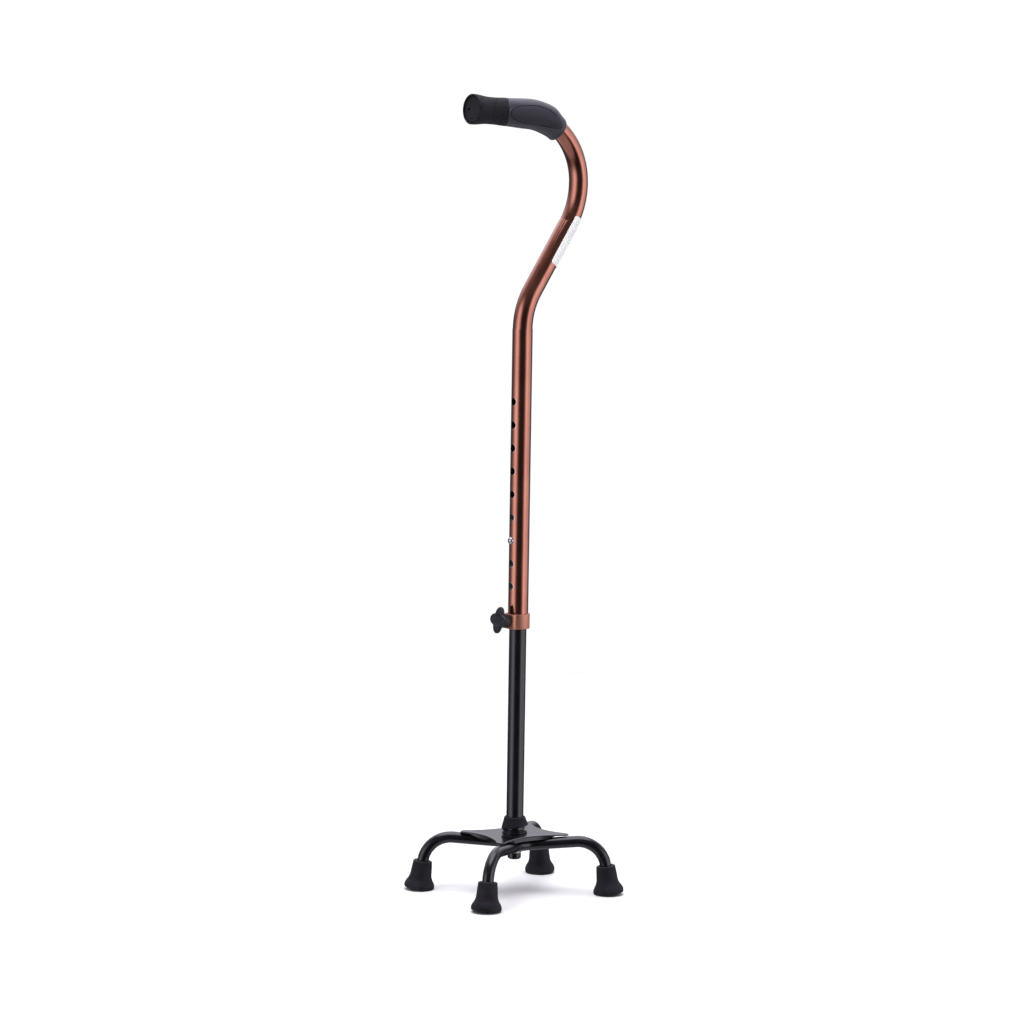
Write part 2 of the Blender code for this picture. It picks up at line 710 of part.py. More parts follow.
def make_clamp_band(parent, mats):
    outer_half, inner_half = BAND_HALF_WIDTH, BAND_HALF_WIDTH - BAND_WALL
    inner_r = UPPER_R + GAP
    inner_front = BAND_FRONT_X - BAND_WALL
    special = [
        math.atan2(outer_half, BAND_FRONT_X),
        math.asin(outer_half / BAND_R),
        math.atan2(inner_half, inner_front),
        math.asin(inner_half / inner_r),
    ]
    even = [math.radians(9.0 * i) for i in range(40) if not 2 < i < 6 and not 34 < i < 38]
    angles = sorted(even + special + [2.0 * math.pi - a for a in special])
    soft = 0.35 * MM

    def outline(circle_r, front_x, half_width, z):
        points = []
        for angle in angles:
            r = band_radius(angle, circle_r, front_x, half_width)
            points.append(Vector((r * math.cos(angle), r * math.sin(angle), z)))
        return points

    low, high = BAND_BOTTOM_Z, BAND_BOTTOM_Z + BAND_HEIGHT
    rings = [
        outline(inner_r, inner_front, inner_half, low),
        outline(BAND_R - soft, BAND_FRONT_X - soft, outer_half - soft, low),
        outline(BAND_R, BAND_FRONT_X, outer_half, low + soft),
        outline(BAND_R, BAND_FRONT_X, outer_half, high - soft),
        outline(BAND_R - soft, BAND_FRONT_X - soft, outer_half - soft, high),
        outline(inner_r, inner_front, inner_half, high),
    ]
    band = finish("clamp_band", loft(bmesh.new(), rings, closed=True), mats["copper_coat"], parent)
    way = screw_way()
    at = screw_centre()
    hole = rod(at + way * (6.0 * MM), at + way * (20.0 * MM), SCREW_R + 0.9 * MM, 16)
    cutter("screw_hole_cut", hole, band)


def screw_way():
    return Vector((math.cos(SCREW_TILT), 0.0, math.sin(SCREW_TILT)))


def screw_centre():
    """Where the screw's axis meets the pole's axis."""
    return Vector((0.0, 0.0, BAND_BOTTOM_Z + BAND_HEIGHT / 2.0 - 2.2 * MM))


def make_clamp_nut(parent, mats):
    """Thin square nut held between the lower tube and the band's flat front."""
    middle = BAND_BOTTOM_Z + BAND_HEIGHT / 2.0
    half = 5.6 * MM
    low = Vector((LOWER_R + GAP + 0.1 * MM, -half, middle - half))
    high = Vector((BAND_FRONT_X - BAND_WALL - GAP, half, middle + half))
    nut = finish("clamp_nut", block(low, high), mats["zinc"], parent)
    way = screw_way()
    at = screw_centre()
    hole = rod(at + way * (5.0 * MM), at + way * (20.0 * MM), SCREW_R + GAP + 0.1 * MM, 16)
    cutter("nut_bore_cut", hole, nut)


# ---------------------------------------------------------------- knob
def screw_matrix():
    """Local +Z runs out along the screw's axis."""
    spin = Vector((0.0, 0.0, 1.0)).rotation_difference(screw_way()).to_matrix().to_4x4()
    return Matrix.Translation(screw_centre()) @ spin


def knob_outline(scale, height, steps=40):
    points = []
    for i in range(steps):
        angle = 2.0 * math.pi * i / steps
        lobe = 0.5 + 0.5 * math.cos(KNOB_LOBES * angle)
        radius = (KNOB_NOTCH_R + (KNOB_R - KNOB_NOTCH_R) * lobe ** 0.8) * scale
        points.append(Vector((radius * math.cos(angle), radius * math.sin(angle), height)))
    return points


def make_knob(parent, mats):
    steps = 40
    hub = [Vector((math.cos(2.0 * math.pi * i / steps), math.sin(2.0 * math.pi * i / steps), 0.0))
           for i in range(steps)]
    bore_r = SCREW_R + GAP
    bore_end = KNOB_FRONT_X - 3.0 * MM

    def hub_ring(radius, height):
        return [p * radius + Vector((0.0, 0.0, height)) for p in hub]

    rings = [
        hub_ring(bore_r, bore_end),
        hub_ring(bore_r, KNOB_BACK_X),
        hub_ring(KNOB_HUB_R - 0.6 * MM, KNOB_BACK_X),
        hub_ring(KNOB_HUB_R, KNOB_BACK_X + 0.6 * MM),
        hub_ring(KNOB_HUB_R, KNOB_STAR_X),
        knob_outline(0.92, KNOB_STAR_X),
        knob_outline(1.0, KNOB_STAR_X + 1.2 * MM),
        knob_outline(1.0, KNOB_FRONT_X - 1.8 * MM),
        knob_outline(0.94, KNOB_FRONT_X - 0.5 * MM),
        knob_outline(0.82, KNOB_FRONT_X),
        hub_ring(6.4 * MM, KNOB_FRONT_X),
        hub_ring(5.6 * MM, KNOB_FRONT_X - 0.9 * MM),
    ]
    bm = loft(bmesh.new(), rings)
    bm.transform(screw_matrix() @ Matrix.Rotation(KNOB_PHASE + math.pi, 4, "Z"))
    finish("knob_head", bm, mats["black_plastic"], parent)
    screw = [
        (0.0, 12.1 * MM),
        (SCREW_R - 0.5 * MM, 12.1 * MM),
        (SCREW_R, 12.6 * MM),
        (SCREW_R, bore_end - GAP),
        (0.0, bore_end - GAP),
    ]
    finish("knob_screw", turned(screw, 16, screw_matrix()), mats["zinc"], parent)


def make_clamp_pad(parent, mats):
    pad = [
        (0.0, 10.45 * MM),
        (2.4 * MM, 10.45 * MM),
        (2.4 * MM, 11.8 * MM),
        (0.0, 11.8 * MM),
    ]
    finish("clamp_pad", turned(pad, 12, screw_matrix()), mats["nylon"], parent)


# ---------------------------------------------------------------- grip
def grip_total():
    return neck_path()[-1][3]


def grip_station(back):
    """Station at a distance behind the grip's front end, measured along the tube."""
    length = grip_total() + TUBE_INSET - back
    if length > grip_total():
        x, z, heading, at, bend = neck_path()[-1]
        extra = length - at
        return (x - math.sin(heading) * extra, z + math.cos(heading) * extra, heading, length, 0.0)
    return neck_point(length)


def blend(a, b, t):
    t = min(1.0, max(0.0, t))
    return a + (b - a) * t * t * (3.0 - 2.0 * t)


def grip_radius(back):
    """Outer radius of the rubber grip at a distance behind its front end."""
    if back < GRIP_SLEEVE_LENGTH:
        flare = blend(GRIP_LIP_R, GRIP_SLEEVE_R, (back - 2.0 * MM) / (20.0 * MM))
        return blend(flare, GRIP_R, (back - 30.0 * MM) / (14.0 * MM))
    swell = blend(GRIP_R, GRIP_PALM_R, (back - GRIP_SLEEVE_LENGTH) / (32.0 * MM))
    return blend(swell, GRIP_NECK_R, (back - 96.0 * MM) / (25.0 * MM))


def upward(angle):
    """Nought on the grip's underside, one on its top side."""
    return 0.5 - 0.5 * math.cos(angle)


def crown(back):
    return blend(0.0, GRIP_CROWN, (back - 101.0 * MM) / (19.0 * MM))


def skewed(back, angle, scallop):
    """The sides reach further forward by the scallop; the rear end is raked."""
    rake = blend(0.0, GRIP_RAKE, (back - 95.0 * MM) / (GRIP_ARC_LENGTH - 95.0 * MM))
    return grip_station(back - scallop * math.sin(angle) ** 2 - rake * upward(angle))


def grip_ring(back, radius, sides, scallop=0.0):
    points = []
    for i in range(sides):
        angle = 2.0 * math.pi * i / sides
        centre, outward, _ = neck_frame(skewed(back, angle, scallop))
        reach = radius - crown(back) * upward(angle)
        points.append(centre + outward * (reach * math.cos(angle))
                      + Vector((0, 1, 0)) * (reach * math.sin(angle)))
    return points


def tube_clear(back, sides, scallop=0.0, square=False):
    """Bore of the grip, one gap clear of the oval tube inside it."""
    points = []
    for i in range(sides):
        angle = 2.0 * math.pi * i / sides
        station = grip_station(back) if square else skewed(back, angle, scallop)
        centre, outward, _ = neck_frame(station)
        radius_in, radius_across = oval(station, UPPER_R)
        points.append(centre + outward * ((radius_in + GAP) * math.cos(angle))
                      + Vector((0, 1, 0)) * ((radius_across + GAP) * math.sin(angle)))
    return points


def make_grip(parent, mats):
    sides = 24
    scallop = 4.6 * MM
    lip = 1.4 * MM
    sleeve_backs = [2.0, 5.0, 10.0, 17.0, 26.0, 35.0]
    rings = [tube_clear(lip + 2.2 * MM, sides)]
    rings.append(grip_ring(lip + 2.2 * MM, 14.6 * MM, sides))
    rings.append(grip_ring(0.4 * MM, 15.2 * MM, sides))
    rings.append(grip_ring(0.0, GRIP_LIP_R - 0.9 * MM, sides))
    rings.append(grip_ring(0.6 * MM, GRIP_LIP_R, sides))
    rings += [grip_ring(b * MM, grip_radius(b * MM), sides) for b in sleeve_backs]
    end = GRIP_SLEEVE_LENGTH
    rings.append(grip_ring(end, grip_radius(end), sides, scallop))
    rings.append(tube_clear(end, sides, scallop))
    finish("grip_sleeve", loft(bmesh.new(), rings, closed=True), mats["grip_rough"], parent)

    start = GRIP_SLEEVE_LENGTH + 1.6 * GAP
    stop = GRIP_ARC_LENGTH
    body_backs = [50.0, 58.0, 66.0, 75.0, 84.0, 93.0, 101.0, 108.0, 115.0]
    rings = [tube_clear(start, sides, scallop)]
    rings.append(grip_ring(start, grip_radius(start), sides, scallop))
    rings += [grip_ring(b * MM, grip_radius(b * MM), sides) for b in body_backs]
    rings.append(grip_ring(stop - 1.6 * MM, GRIP_NECK_R - 0.1 * MM, sides))
    rings.append(grip_ring(stop - 0.4 * MM, GRIP_NECK_R - 0.4 * MM, sides))
    rings.append(grip_ring(stop, GRIP_NECK_R - 0.9 * MM, sides))
    rings.append(tube_clear(stop, sides))
    bends = [grip_total() + TUBE_INSET - station[3] for station in neck_path()]
    bends = [back for back in bends if start + 6.0 * MM < back < stop - 5.0 * MM]
    rings += [tube_clear(back, sides, square=True) for back in bends]
    body = finish("grip_body", loft(bmesh.new(), rings, closed=True), mats["grip_rubber"], parent)
    for side_name, sign in (("left", 1.0), ("right", -1.0)):
        recess = inlay_patch(sign, GAP + 0.2 * MM, -1.7 * MM, 3.0 * MM)
        cutter("inlay_cut_" + side_name, recess, body)
        pad = inlay_patch(sign, 0.0, -1.3 * MM, 0.0)
        finish("grip_inlay_" + side_name, pad, mats["grip_inlay"], parent)


def inlay_patch(sign, margin, low, high):
    """Oval pad that follows the grip's side between two depths about its surface."""
    middle, half_length = 78.5 * MM, 36.5 * MM + margin
    half_angle = math.radians(37.0) + margin / GRIP_R
    centre_angle = math.radians(84.0)
    rings = []
    fractions = (0.15, 0.5, 0.8, 1.0)

    def surface(t, turn, offset):
        back = middle + half_length * t * math.cos(turn)
        taper = 1.0 - 0.16 * math.cos(turn)
        angle = centre_angle + half_angle * taper * t * math.sin(turn)
        centre, outward, _ = neck_frame(grip_station(back))
        radius = grip_radius(back) - crown(back) * upward(angle) + offset
        return (centre + outward * (radius * math.cos(angle))
                + Vector((0, sign, 0)) * (radius * math.sin(angle)))

    turns = [2.0 * math.pi * i / 24 for i in range(24)]
    for t in fractions:
        rings.append([surface(t, turn, high) for turn in turns])
    for t in fractions[::-1]:
        rings.append([surface(t, turn, low) for turn in turns])
    return loft(bmesh.new(), rings)


def make_grip_end(parent, mats):
    """Recessed disc with a raised ring and a vent hole, and the plug in the tube's end."""
    origin, _, along = neck_frame(grip_station(1.7 * MM))
    spin = Vector((0.0, 0.0, 1.0)).rotation_difference(along).to_matrix().to_4x4()
    place = Matrix.Translation(origin) @ spin
    cap = [
        (0.0, -1.4 * MM),
        (13.9 * MM, -1.4 * MM),
        (14.1 * MM, -0.2 * MM),
        (12.2 * MM, 0.0),
        (11.6 * MM, -0.5 * MM),
        (5.2 * MM, -0.5 * MM),
        (3.0 * MM, -0.9 * MM),
        (0.0, -0.9 * MM),
    ]
    disc = finish("grip_end_cap", turned(cap, 24, place), mats["grip_rough"], parent)
    vent = rod(place @ Vector((0.0, VENT_Y, -4.0 * MM)), place @ Vector((0.0, VENT_Y, 3.0 * MM)), VENT_R, 12)
    cutter("vent_cut", vent, disc)
    inner = UPPER_R - UPPER_WALL - 1.2 * GAP
    plug = [
        (0.0, -17.0 * MM),
        (inner - 0.4 * MM, -17.0 * MM),
        (inner, -16.0 * MM),
        (inner, -3.0 * MM),
        (0.0, -3.0 * MM),
    ]
    finish("tube_end_plug", turned(plug, TUBE_SIDES, place), mats["black_plastic"], parent)


def make_label(parent, mats):
    """Blank label wrapped round the left and the back of the slanted part of the neck."""
    stations = neck_path()
    slant = next(s for s in stations if abs(s[2] - LEAN_BACK) < 1e-6)
    begin = slant[3] + LABEL_START
    bends = [s[3] for s in stations if begin + 2.0 * MM < s[3] < begin + LABEL_LENGTH - 2.0 * MM]
    low_r = UPPER_R + GAP
    high_r = low_r + 0.2 * MM
    steps = 12
    rings = []
    for length in [begin, *bends, begin + LABEL_LENGTH]:
        station = neck_point(length)
        centre, outward, _ = neck_frame(station)
        points = []
        for radius, order in ((high_r, range(steps + 1)), (low_r, range(steps, -1, -1))):
            radius_in, radius_across = oval(station, radius)
            for i in order:
                angle = LABEL_CENTRE + LABEL_HALF_WRAP * (2.0 * i / steps - 1.0)
                points.append(centre + outward * (radius_in * math.cos(angle))
                              + Vector((0, 1, 0)) * (radius_across * math.sin(angle)))
        rings.append(points)
    finish("label", loft(bmesh.new(), rings), mats["label_white"], parent)


# ---------------------------------------------------------------- assembly
def main():
    clear_scene()
    mats = make_materials()
    corners = {
        "front_left": (1, 1),
        "rear_left": (-1, 1),
        "rear_right": (-1, -1),
        "front_right": (1, -1),
    }
    make_base_plate(mats)
    make_leg_tube("left", 1, mats)
    make_leg_tube("right", -1, mats)
    for name, (sign_x, sign_y) in corners.items():
        make_ferrule(name, sign_x, sign_y, mats)
    make_socket(mats)
    make_boot(mats)
    make_base_fasteners(mats)
    make_lower_tube(mats)
    make_guide_bush(mats)

    button_axis = joint_empty("button_axis", (0.0, 0.0, button_z()))
    make_snap_button(button_axis, mats)
    make_snap_spring(None, mats)

    slide_axis = joint_empty("slide_axis", (0.0, 0.0, UPPER_BOTTOM_Z))
    make_upper_tube(slide_axis, mats)
    make_clamp_band(slide_axis, mats)
    make_clamp_nut(slide_axis, mats)
    make_grip(slide_axis, mats)
    make_grip_end(slide_axis, mats)
    make_label(slide_axis, mats)

    knob_axis = joint_empty("knob_axis", screw_centre(), SCREW_TILT, slide_axis)
    make_knob(knob_axis, mats)
    make_clamp_pad(knob_axis, mats)


main()
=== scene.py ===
import bisect
import math

import bmesh
import bpy
from mathutils import Matrix, Vector


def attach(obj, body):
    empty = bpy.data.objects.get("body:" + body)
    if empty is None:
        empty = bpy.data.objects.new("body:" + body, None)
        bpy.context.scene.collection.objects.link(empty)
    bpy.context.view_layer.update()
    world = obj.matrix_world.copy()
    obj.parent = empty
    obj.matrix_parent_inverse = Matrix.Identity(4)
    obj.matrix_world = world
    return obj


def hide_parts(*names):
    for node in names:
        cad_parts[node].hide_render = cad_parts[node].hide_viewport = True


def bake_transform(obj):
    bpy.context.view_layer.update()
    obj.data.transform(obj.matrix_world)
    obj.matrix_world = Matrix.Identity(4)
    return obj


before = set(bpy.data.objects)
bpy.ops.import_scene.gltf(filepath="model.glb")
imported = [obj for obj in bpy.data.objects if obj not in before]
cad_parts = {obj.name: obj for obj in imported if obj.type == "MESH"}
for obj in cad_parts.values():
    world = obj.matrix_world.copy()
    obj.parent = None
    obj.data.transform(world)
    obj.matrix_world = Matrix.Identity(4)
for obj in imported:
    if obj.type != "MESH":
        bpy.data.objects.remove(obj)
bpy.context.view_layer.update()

# ---------------------------------------------------------------- sizes, as in the solids
MM = 0.001
ACROSS = Vector((0.0, 1.0, 0.0))
UP = Vector((0.0, 0.0, 1.0))
GAP = 0.3 * MM                      # running or seating gap between two pieces

# telescopic pole
UPPER_R = 11.11 * MM                # 7/8 inch tube
UPPER_WALL = 1.2 * MM
LOWER_R = 9.52 * MM                 # 3/4 inch tube
LOWER_WALL = 1.2 * MM
LOWER_BOTTOM_Z = 67.0 * MM
LOWER_TOP_Z = 435.0 * MM
UPPER_BOTTOM_Z = 296.0 * MM

# holes and snap button
HOLE_COUNT = 9
HOLE_PITCH = 25.4 * MM
HOLE_TOP_Z = 544.3 * MM
HOLE_R = 4.3 * MM
BUTTON_HOLE = 6                     # counted from the top, from zero
BUTTON_R = 3.8 * MM
BUTTON_PROUD = 3.2 * MM

# swan neck, walked from the foot of the upper tube
NECK_START_Z = 622.8 * MM
FIRST_BEND_R = 78.0 * MM
LEAN_BACK = math.radians(32.9)
SLANT_LENGTH = 84.0 * MM
BACK_BEND_R = 85.0 * MM
TOP_BEND_R = 74.5 * MM
TOP_TURN = math.radians(86.4)
GRIP_END_X = 72.0 * MM
TUBE_INSET = 4.0 * MM               # the tube ends this far inside the grip's front end
TOP_BEND_FLAT = 0.89                # a bent tube narrows in the plane of its bend
TOP_BEND_WIDE = 1.02

# grip
GRIP_R = 15.2 * MM
GRIP_PALM_R = 16.4 * MM
GRIP_SLEEVE_R = 14.6 * MM
GRIP_LIP_R = 16.4 * MM
GRIP_NECK_R = 15.0 * MM             # behind the palm, where the grip is cut off
GRIP_CROWN = 2.6 * MM               # the top side draws in to the tube there
GRIP_RAKE = 4.0 * MM                # and the top side is cut off sooner than the underside
GRIP_SLEEVE_LENGTH = 43.0 * MM
VENT_Y = -7.1 * MM                  # the vent sits to the right of the end disc's middle
VENT_R = 1.7 * MM
GRIP_ARC_LENGTH = 121.5 * MM        # along the tube, from the front end to the cut end

# blank label on the neck
LABEL_START = 35.0 * MM             # along the slant, from the first bend's end
LABEL_LENGTH = 60.0 * MM
LABEL_CENTRE = math.radians(132.0)  # round the tube from its front, over the left side
LABEL_HALF_WRAP = math.radians(59.0)

# clamp band
BAND_BOTTOM_Z = 294.5 * MM
BAND_HEIGHT = 16.4 * MM
BAND_R = 12.9 * MM
BAND_FRONT_X = 13.6 * MM
BAND_HALF_WIDTH = 9.0 * MM
BAND_WALL = 1.3 * MM
SLIT_WIDTH = 2.2 * MM
SLIT_TURN = math.radians(9.0)       # the slit sits a little to the left of the holes
SLIT_TOP_Z = 320.3 * MM

# clamp screw and knob
SCREW_TILT = math.radians(10.0)
SCREW_R = 3.0 * MM
KNOB_HUB_R = 7.8 * MM
KNOB_R = 14.7 * MM
KNOB_NOTCH_R = 9.6 * MM
KNOB_LOBES = 4
KNOB_PHASE = math.radians(-3.0)
KNOB_BACK_X = 15.7 * MM
KNOB_STAR_X = 24.2 * MM
KNOB_FRONT_X = 28.6 * MM

# base
FOOT_X = 82.5 * MM                  # middle of each sole
FOOT_Y = 65.5 * MM
LEG_R = 6.35 * MM                   # 1/2 inch tube
LEG_WALL = 1.4 * MM
LEG_SPLAY = 0.130                   # outward run of a leg for each unit of height
LEG_SLOPE = 0.075                   # fall of the run towards the middle
LEG_MID_Z = 53.6 * MM
LEG_BOW_Y = 9.5 * MM                # where the two straight runs of a tube would meet
LEG_BEND_R = 31.0 * MM
LEG_BOW_R = 30.0 * MM
PLATE_TOP_Z = 66.3 * MM
PLATE_THICKNESS = 1.8 * MM
PLATE_TIP_X = 46.5 * MM
PLATE_TIP_Y = 38.0 * MM
PLATE_WAIST_X = 37.5 * MM
PLATE_WAIST_Y = 27.4 * MM
PLATE_TIP_R = 5.5 * MM
PLATE_FLANGE = 5.2 * MM

# rubber ferrules
FERRULE_HEIGHT = 30.8 * MM
FERRULE_BASE_R = 16.7 * MM
FERRULE_RIM_R = 10.4 * MM
SOLE_WORN = 1.0 * MM                # depth of the flat worn on each tilted sole

# boot, socket and base bolt
BOOT_TOP_Z = 84.5 * MM
BOOT_LOW_Z = 72.9 * MM
BOOT_R = 14.6 * MM
BOOT_TOP_R = 11.3 * MM
BOOT_SKEW = 0.15                    # the boot's lower edge rises to one side
BOLT_R = 3.9 * MM
BOLT_HEAD_R = 7.4 * MM
BOLT_HEAD_LOW_Z = 36.8 * MM


# ---------------------------------------------------------------- shapes shared with the solids
def full_turn(count):
    return [2.0 * math.pi * i / count for i in range(count)]


def quarter_turn(steps):
    return [math.radians(90.0 * k / steps) for k in range(steps + 1)]


def curve(start, pull, end, t):
    return start * (1 - t) ** 2 + pull * (2 * t * (1 - t)) + end * t ** 2


def turn_from_up(way):
    """Rotation that takes +Z to a direction."""
    return UP.rotation_difference(way).to_matrix().to_4x4()


def loft(rings, closed=False):
    """Skin a list of rings of points; closed joins the last ring to the first instead of capping."""
    bm = bmesh.new()
    rows = [[bm.verts.new(point) for point in ring] for ring in rings]
    pairs = list(zip(rows, rows[1:]))
    if closed:
        pairs.append((rows[-1], rows[0]))
    for low, high in pairs:
        for i in range(len(low)):
            j = (i + 1) % len(low)
            bm.faces.new((low[i], low[j], high[j], high[i]))
    if not closed:
        bm.faces.new(rows[0])
        bm.faces.new(rows[-1])
    return bm


def ring(centre, u, v, radius, sides):
    return [centre + u * (radius * math.cos(a)) + v * (radius * math.sin(a)) for a in full_turn(sides)]


def turned(profile, sides, matrix=None):
    """Spin a closed (radius, height) outline about the Z axis."""
    bm = bmesh.new()
    verts = [bm.verts.new((radius, 0.0, height)) for radius, height in profile]
    edges = [bm.edges.new((verts[i], verts[(i + 1) % len(verts)])) for i in range(len(verts))]
    bmesh.ops.spin(bm, geom=verts + edges, cent=(0, 0, 0), axis=(0, 0, 1),
                   angle=2.0 * math.pi, steps=sides, use_merge=True)
    bmesh.ops.remove_doubles(bm, verts=bm.verts, dist=1e-7)
    bmesh.ops.dissolve_degenerate(bm, edges=bm.edges, dist=1e-7)
    if matrix is not None:
        bm.transform(matrix)
    return bm


def rod(start, end, radius, sides):
    """A plain closed rod between two points."""
    axis = (end - start).normalized()
    side = axis.orthogonal().normalized()
    return loft([ring(point, side, axis.cross(side), radius, sides) for point in (start, end)])


def block(low, high):
    corners = [(low[0], low[1]), (high[0], low[1]), (high[0], high[1]), (low[0], high[1])]
    return loft([[Vector((x, y, z)) for x, y in corners] for z in (low[2], high[2])])


class Walker:
    """Walks a path in the XZ plane: straight runs and arcs, heading measured back from +Z."""

    def __init__(self, x, z):
        self.x, self.z, self.heading, self.length = x, z, 0.0, 0.0
        self.stations = [(x, z, 0.0, 0.0, 0.0)]

    def move(self, chord, run, turn, bend):
        self.heading += turn / 2.0
        self.x -= math.sin(self.heading) * chord
        self.z += math.cos(self.heading) * chord
        self.heading += turn / 2.0
        self.length += run
        self.stations.append((self.x, self.z, self.heading, self.length, bend))

    def straight(self, distance, bend=0.0):
        self.move(distance, distance, 0.0, bend)

    def arc(self, radius, turn, steps, bend):
        step = turn / steps
        for _ in range(steps):
            self.move(2.0 * radius * math.sin(abs(step) / 2.0), radius * abs(step), step, bend)


def neck_path():
    walker = Walker(0.0, UPPER_BOTTOM_Z)
    walker.straight(NECK_START_Z - UPPER_BOTTOM_Z)
    walker.arc(FIRST_BEND_R, LEAN_BACK, 30, 0.4)
    walker.straight(SLANT_LENGTH, 0.4)
    walker.arc(BACK_BEND_R, -LEAN_BACK, 28, 0.9)
    walker.arc(TOP_BEND_R, -TOP_TURN, 72, 1.0)
    walker.straight(12.0 * MM)
    walker.straight((GRIP_END_X - TUBE_INSET - walker.x) / -math.sin(walker.heading))
    return walker.stations


NECK = neck_path()                  # stations: x, z, heading, length so far, share of the bend's flattening
NECK_LENGTHS = [station[3] for station in NECK]


def neck_point(length):
    """Station of the swan neck at a length along the tube."""
    i = min(max(bisect.bisect_left(NECK_LENGTHS, length), 1), len(NECK) - 1)
    a, b = NECK[i - 1], NECK[i]
    t = (length - a[3]) / (b[3] - a[3])
    return tuple(p + (q - p) * t for p, q in zip(a, b))


def around(station, radius_in, radius_across, angle):
    """Point of an oval about a station of the neck; the angle starts at the tube's front."""
    x, z, heading, _, _ = station
    outward = Vector((math.cos(heading), 0.0, math.sin(heading)))
    return (Vector((x, 0.0, z)) + outward * (radius_in * math.cos(angle))
            + ACROSS * (radius_across * math.sin(angle)))


def oval(station, radius):
    """Half widths of the tube in and across the bend plane."""
    bend = station[4]
    return (radius * (1.0 - (1.0 - TOP_BEND_FLAT) * bend),
            radius * (1.0 + (TOP_BEND_WIDE - 1.0) * bend))


def neck_rings(radius, sides):
    turns = full_turn(sides)
    return [[around(station, *oval(station, radius), angle) for angle in turns] for station in NECK]


def rounded_path(points, radii, steps):
    """Straight runs through points with an arc of the given radius at each inner point."""
    path = [Vector(points[0])]
    for before, corner, after, radius in zip(points, points[1:], points[2:], radii):
        corner = Vector(corner)
        into = (corner - Vector(before)).normalized()
        out = (Vector(after) - corner).normalized()
        turn = into.angle(out)
        start = corner - into * (radius * math.tan(turn / 2.0))
        centre = corner + (out - into).normalized() * (radius / math.cos(turn / 2.0))
        axis = into.cross(out).normalized()
        for i in range(steps + 1):
            path.append(centre + Matrix.Rotation(turn * i / steps, 3, axis) @ (start - centre))
    path.append(Vector(points[-1]))
    return path


def tangents(path):
    return [(path[min(i + 1, len(path) - 1)] - path[max(i - 1, 0)]).normalized() for i in range(len(path))]


def tube_rings(path, radius, sides):
    """Rings along a path, carried without twist from a first side direction across."""
    rings = []
    side = ACROSS
    for point, tangent in zip(path, tangents(path)):
        side = (side - tangent * side.dot(tangent)).normalized()
        rings.append(ring(point, side, tangent.cross(side), radius, sides))
    return rings


def plate_tip(sign_x, sign_y, degrees):
    """Point on the round of one tip of the base plate."""
    tip = Vector((sign_x * PLATE_TIP_X, sign_y * PLATE_TIP_Y, 0.0))
    angle = math.atan2(tip.y, tip.x) + math.radians(degrees)
    return tip + (Vector((math.cos(angle), math.sin(angle), 0.0)) - tip.normalized()) * PLATE_TIP_R


def star_outline(tip_steps, edge_steps):
    """Outline of the base plate: four rounded tips joined by four hollow arcs."""
    quarters = [(1, 1), (-1, 1), (-1, -1), (1, -1)]
    waists = [(0.0, PLATE_WAIST_Y), (-PLATE_WAIST_X, 0.0), (0.0, -PLATE_WAIST_Y), (PLATE_WAIST_X, 0.0)]
    points = []
    for here, following, waist in zip(quarters, quarters[1:] + quarters[:1], waists):
        points += [plate_tip(*here, -60.0 + 120.0 * i / tip_steps) for i in range(tip_steps + 1)]
        start, end = points[-1], plate_tip(*following, -60.0)
        pull = Vector((*waist, 0.0)) * 2.0 - (start + end) / 2.0
        points += [curve(start, pull, end, i / (edge_steps + 1)) for i in range(1, edge_steps + 1)]
    return points


def inset_outline(points, distance):
    """Move each point of an anticlockwise outline inwards along its mean normal."""
    moved = []
    for i, point in enumerate(points):
        before = (point - points[i - 1]).normalized()
        after = (points[(i + 1) % len(points)] - point).normalized()
        mean = (before + after).normalized()
        inward = Vector((-mean.y, mean.x, 0.0))
        moved.append(point + inward * (distance / max(inward.dot(Vector((-after.y, after.x, 0.0))), 0.5)))
    return moved


def flange_depth(point):
    """The flange is deepest at the waists and runs out before the tips."""
    reach = math.hypot(point.x / PLATE_TIP_X, point.y / PLATE_TIP_Y) / math.sqrt(2.0)
    depth = (PLATE_FLANGE - PLATE_THICKNESS) * min(1.0, max(0.0, (0.80 - reach) / 0.16))
    return PLATE_THICKNESS + 0.05 * MM + depth


def lifted(points, z):
    return [Vector((p.x, p.y, z)) for p in points]


def leg_axis(sign_x, sign_y):
    """Middle of the sole, and the corner where the leg meets the run towards the middle."""
    foot = Vector((sign_x * FOOT_X, sign_y * FOOT_Y, 0.0))
    plan = foot - ACROSS * (sign_y * LEG_BOW_Y)
    corner_z = (LEG_MID_Z + LEG_SLOPE * plan.length) / (1.0 + LEG_SLOPE * LEG_SPLAY)
    return foot, foot - plan.normalized() * (LEG_SPLAY * corner_z) + UP * corner_z


def leg_down(sign_x, sign_y):
    """Unit vector from a leg's top to its foot."""
    foot, corner = leg_axis(sign_x, sign_y)
    return (foot - corner).normalized()


def sole_centre(sign_x, sign_y):
    """The sole is tilted; its inner edge stands on the floor, worn flat by SOLE_WORN."""
    down = leg_down(sign_x, sign_y)
    tilt = math.acos(-down.z)
    drop = (FERRULE_BASE_R * math.sin(tilt) - SOLE_WORN) / math.cos(tilt)
    return leg_axis(sign_x, sign_y)[0] - down * drop


def button_z():
    return HOLE_TOP_Z - BUTTON_HOLE * HOLE_PITCH


def band_radius(angle, circle_r, front_x, half_width):
    """A circle with a squared-off flat front."""
    if math.cos(angle) <= 0.0:
        return circle_r
    across = abs(math.sin(angle))
    return max(circle_r, min(front_x / math.cos(angle), half_width / across if across > 1e-6 else 1e9))


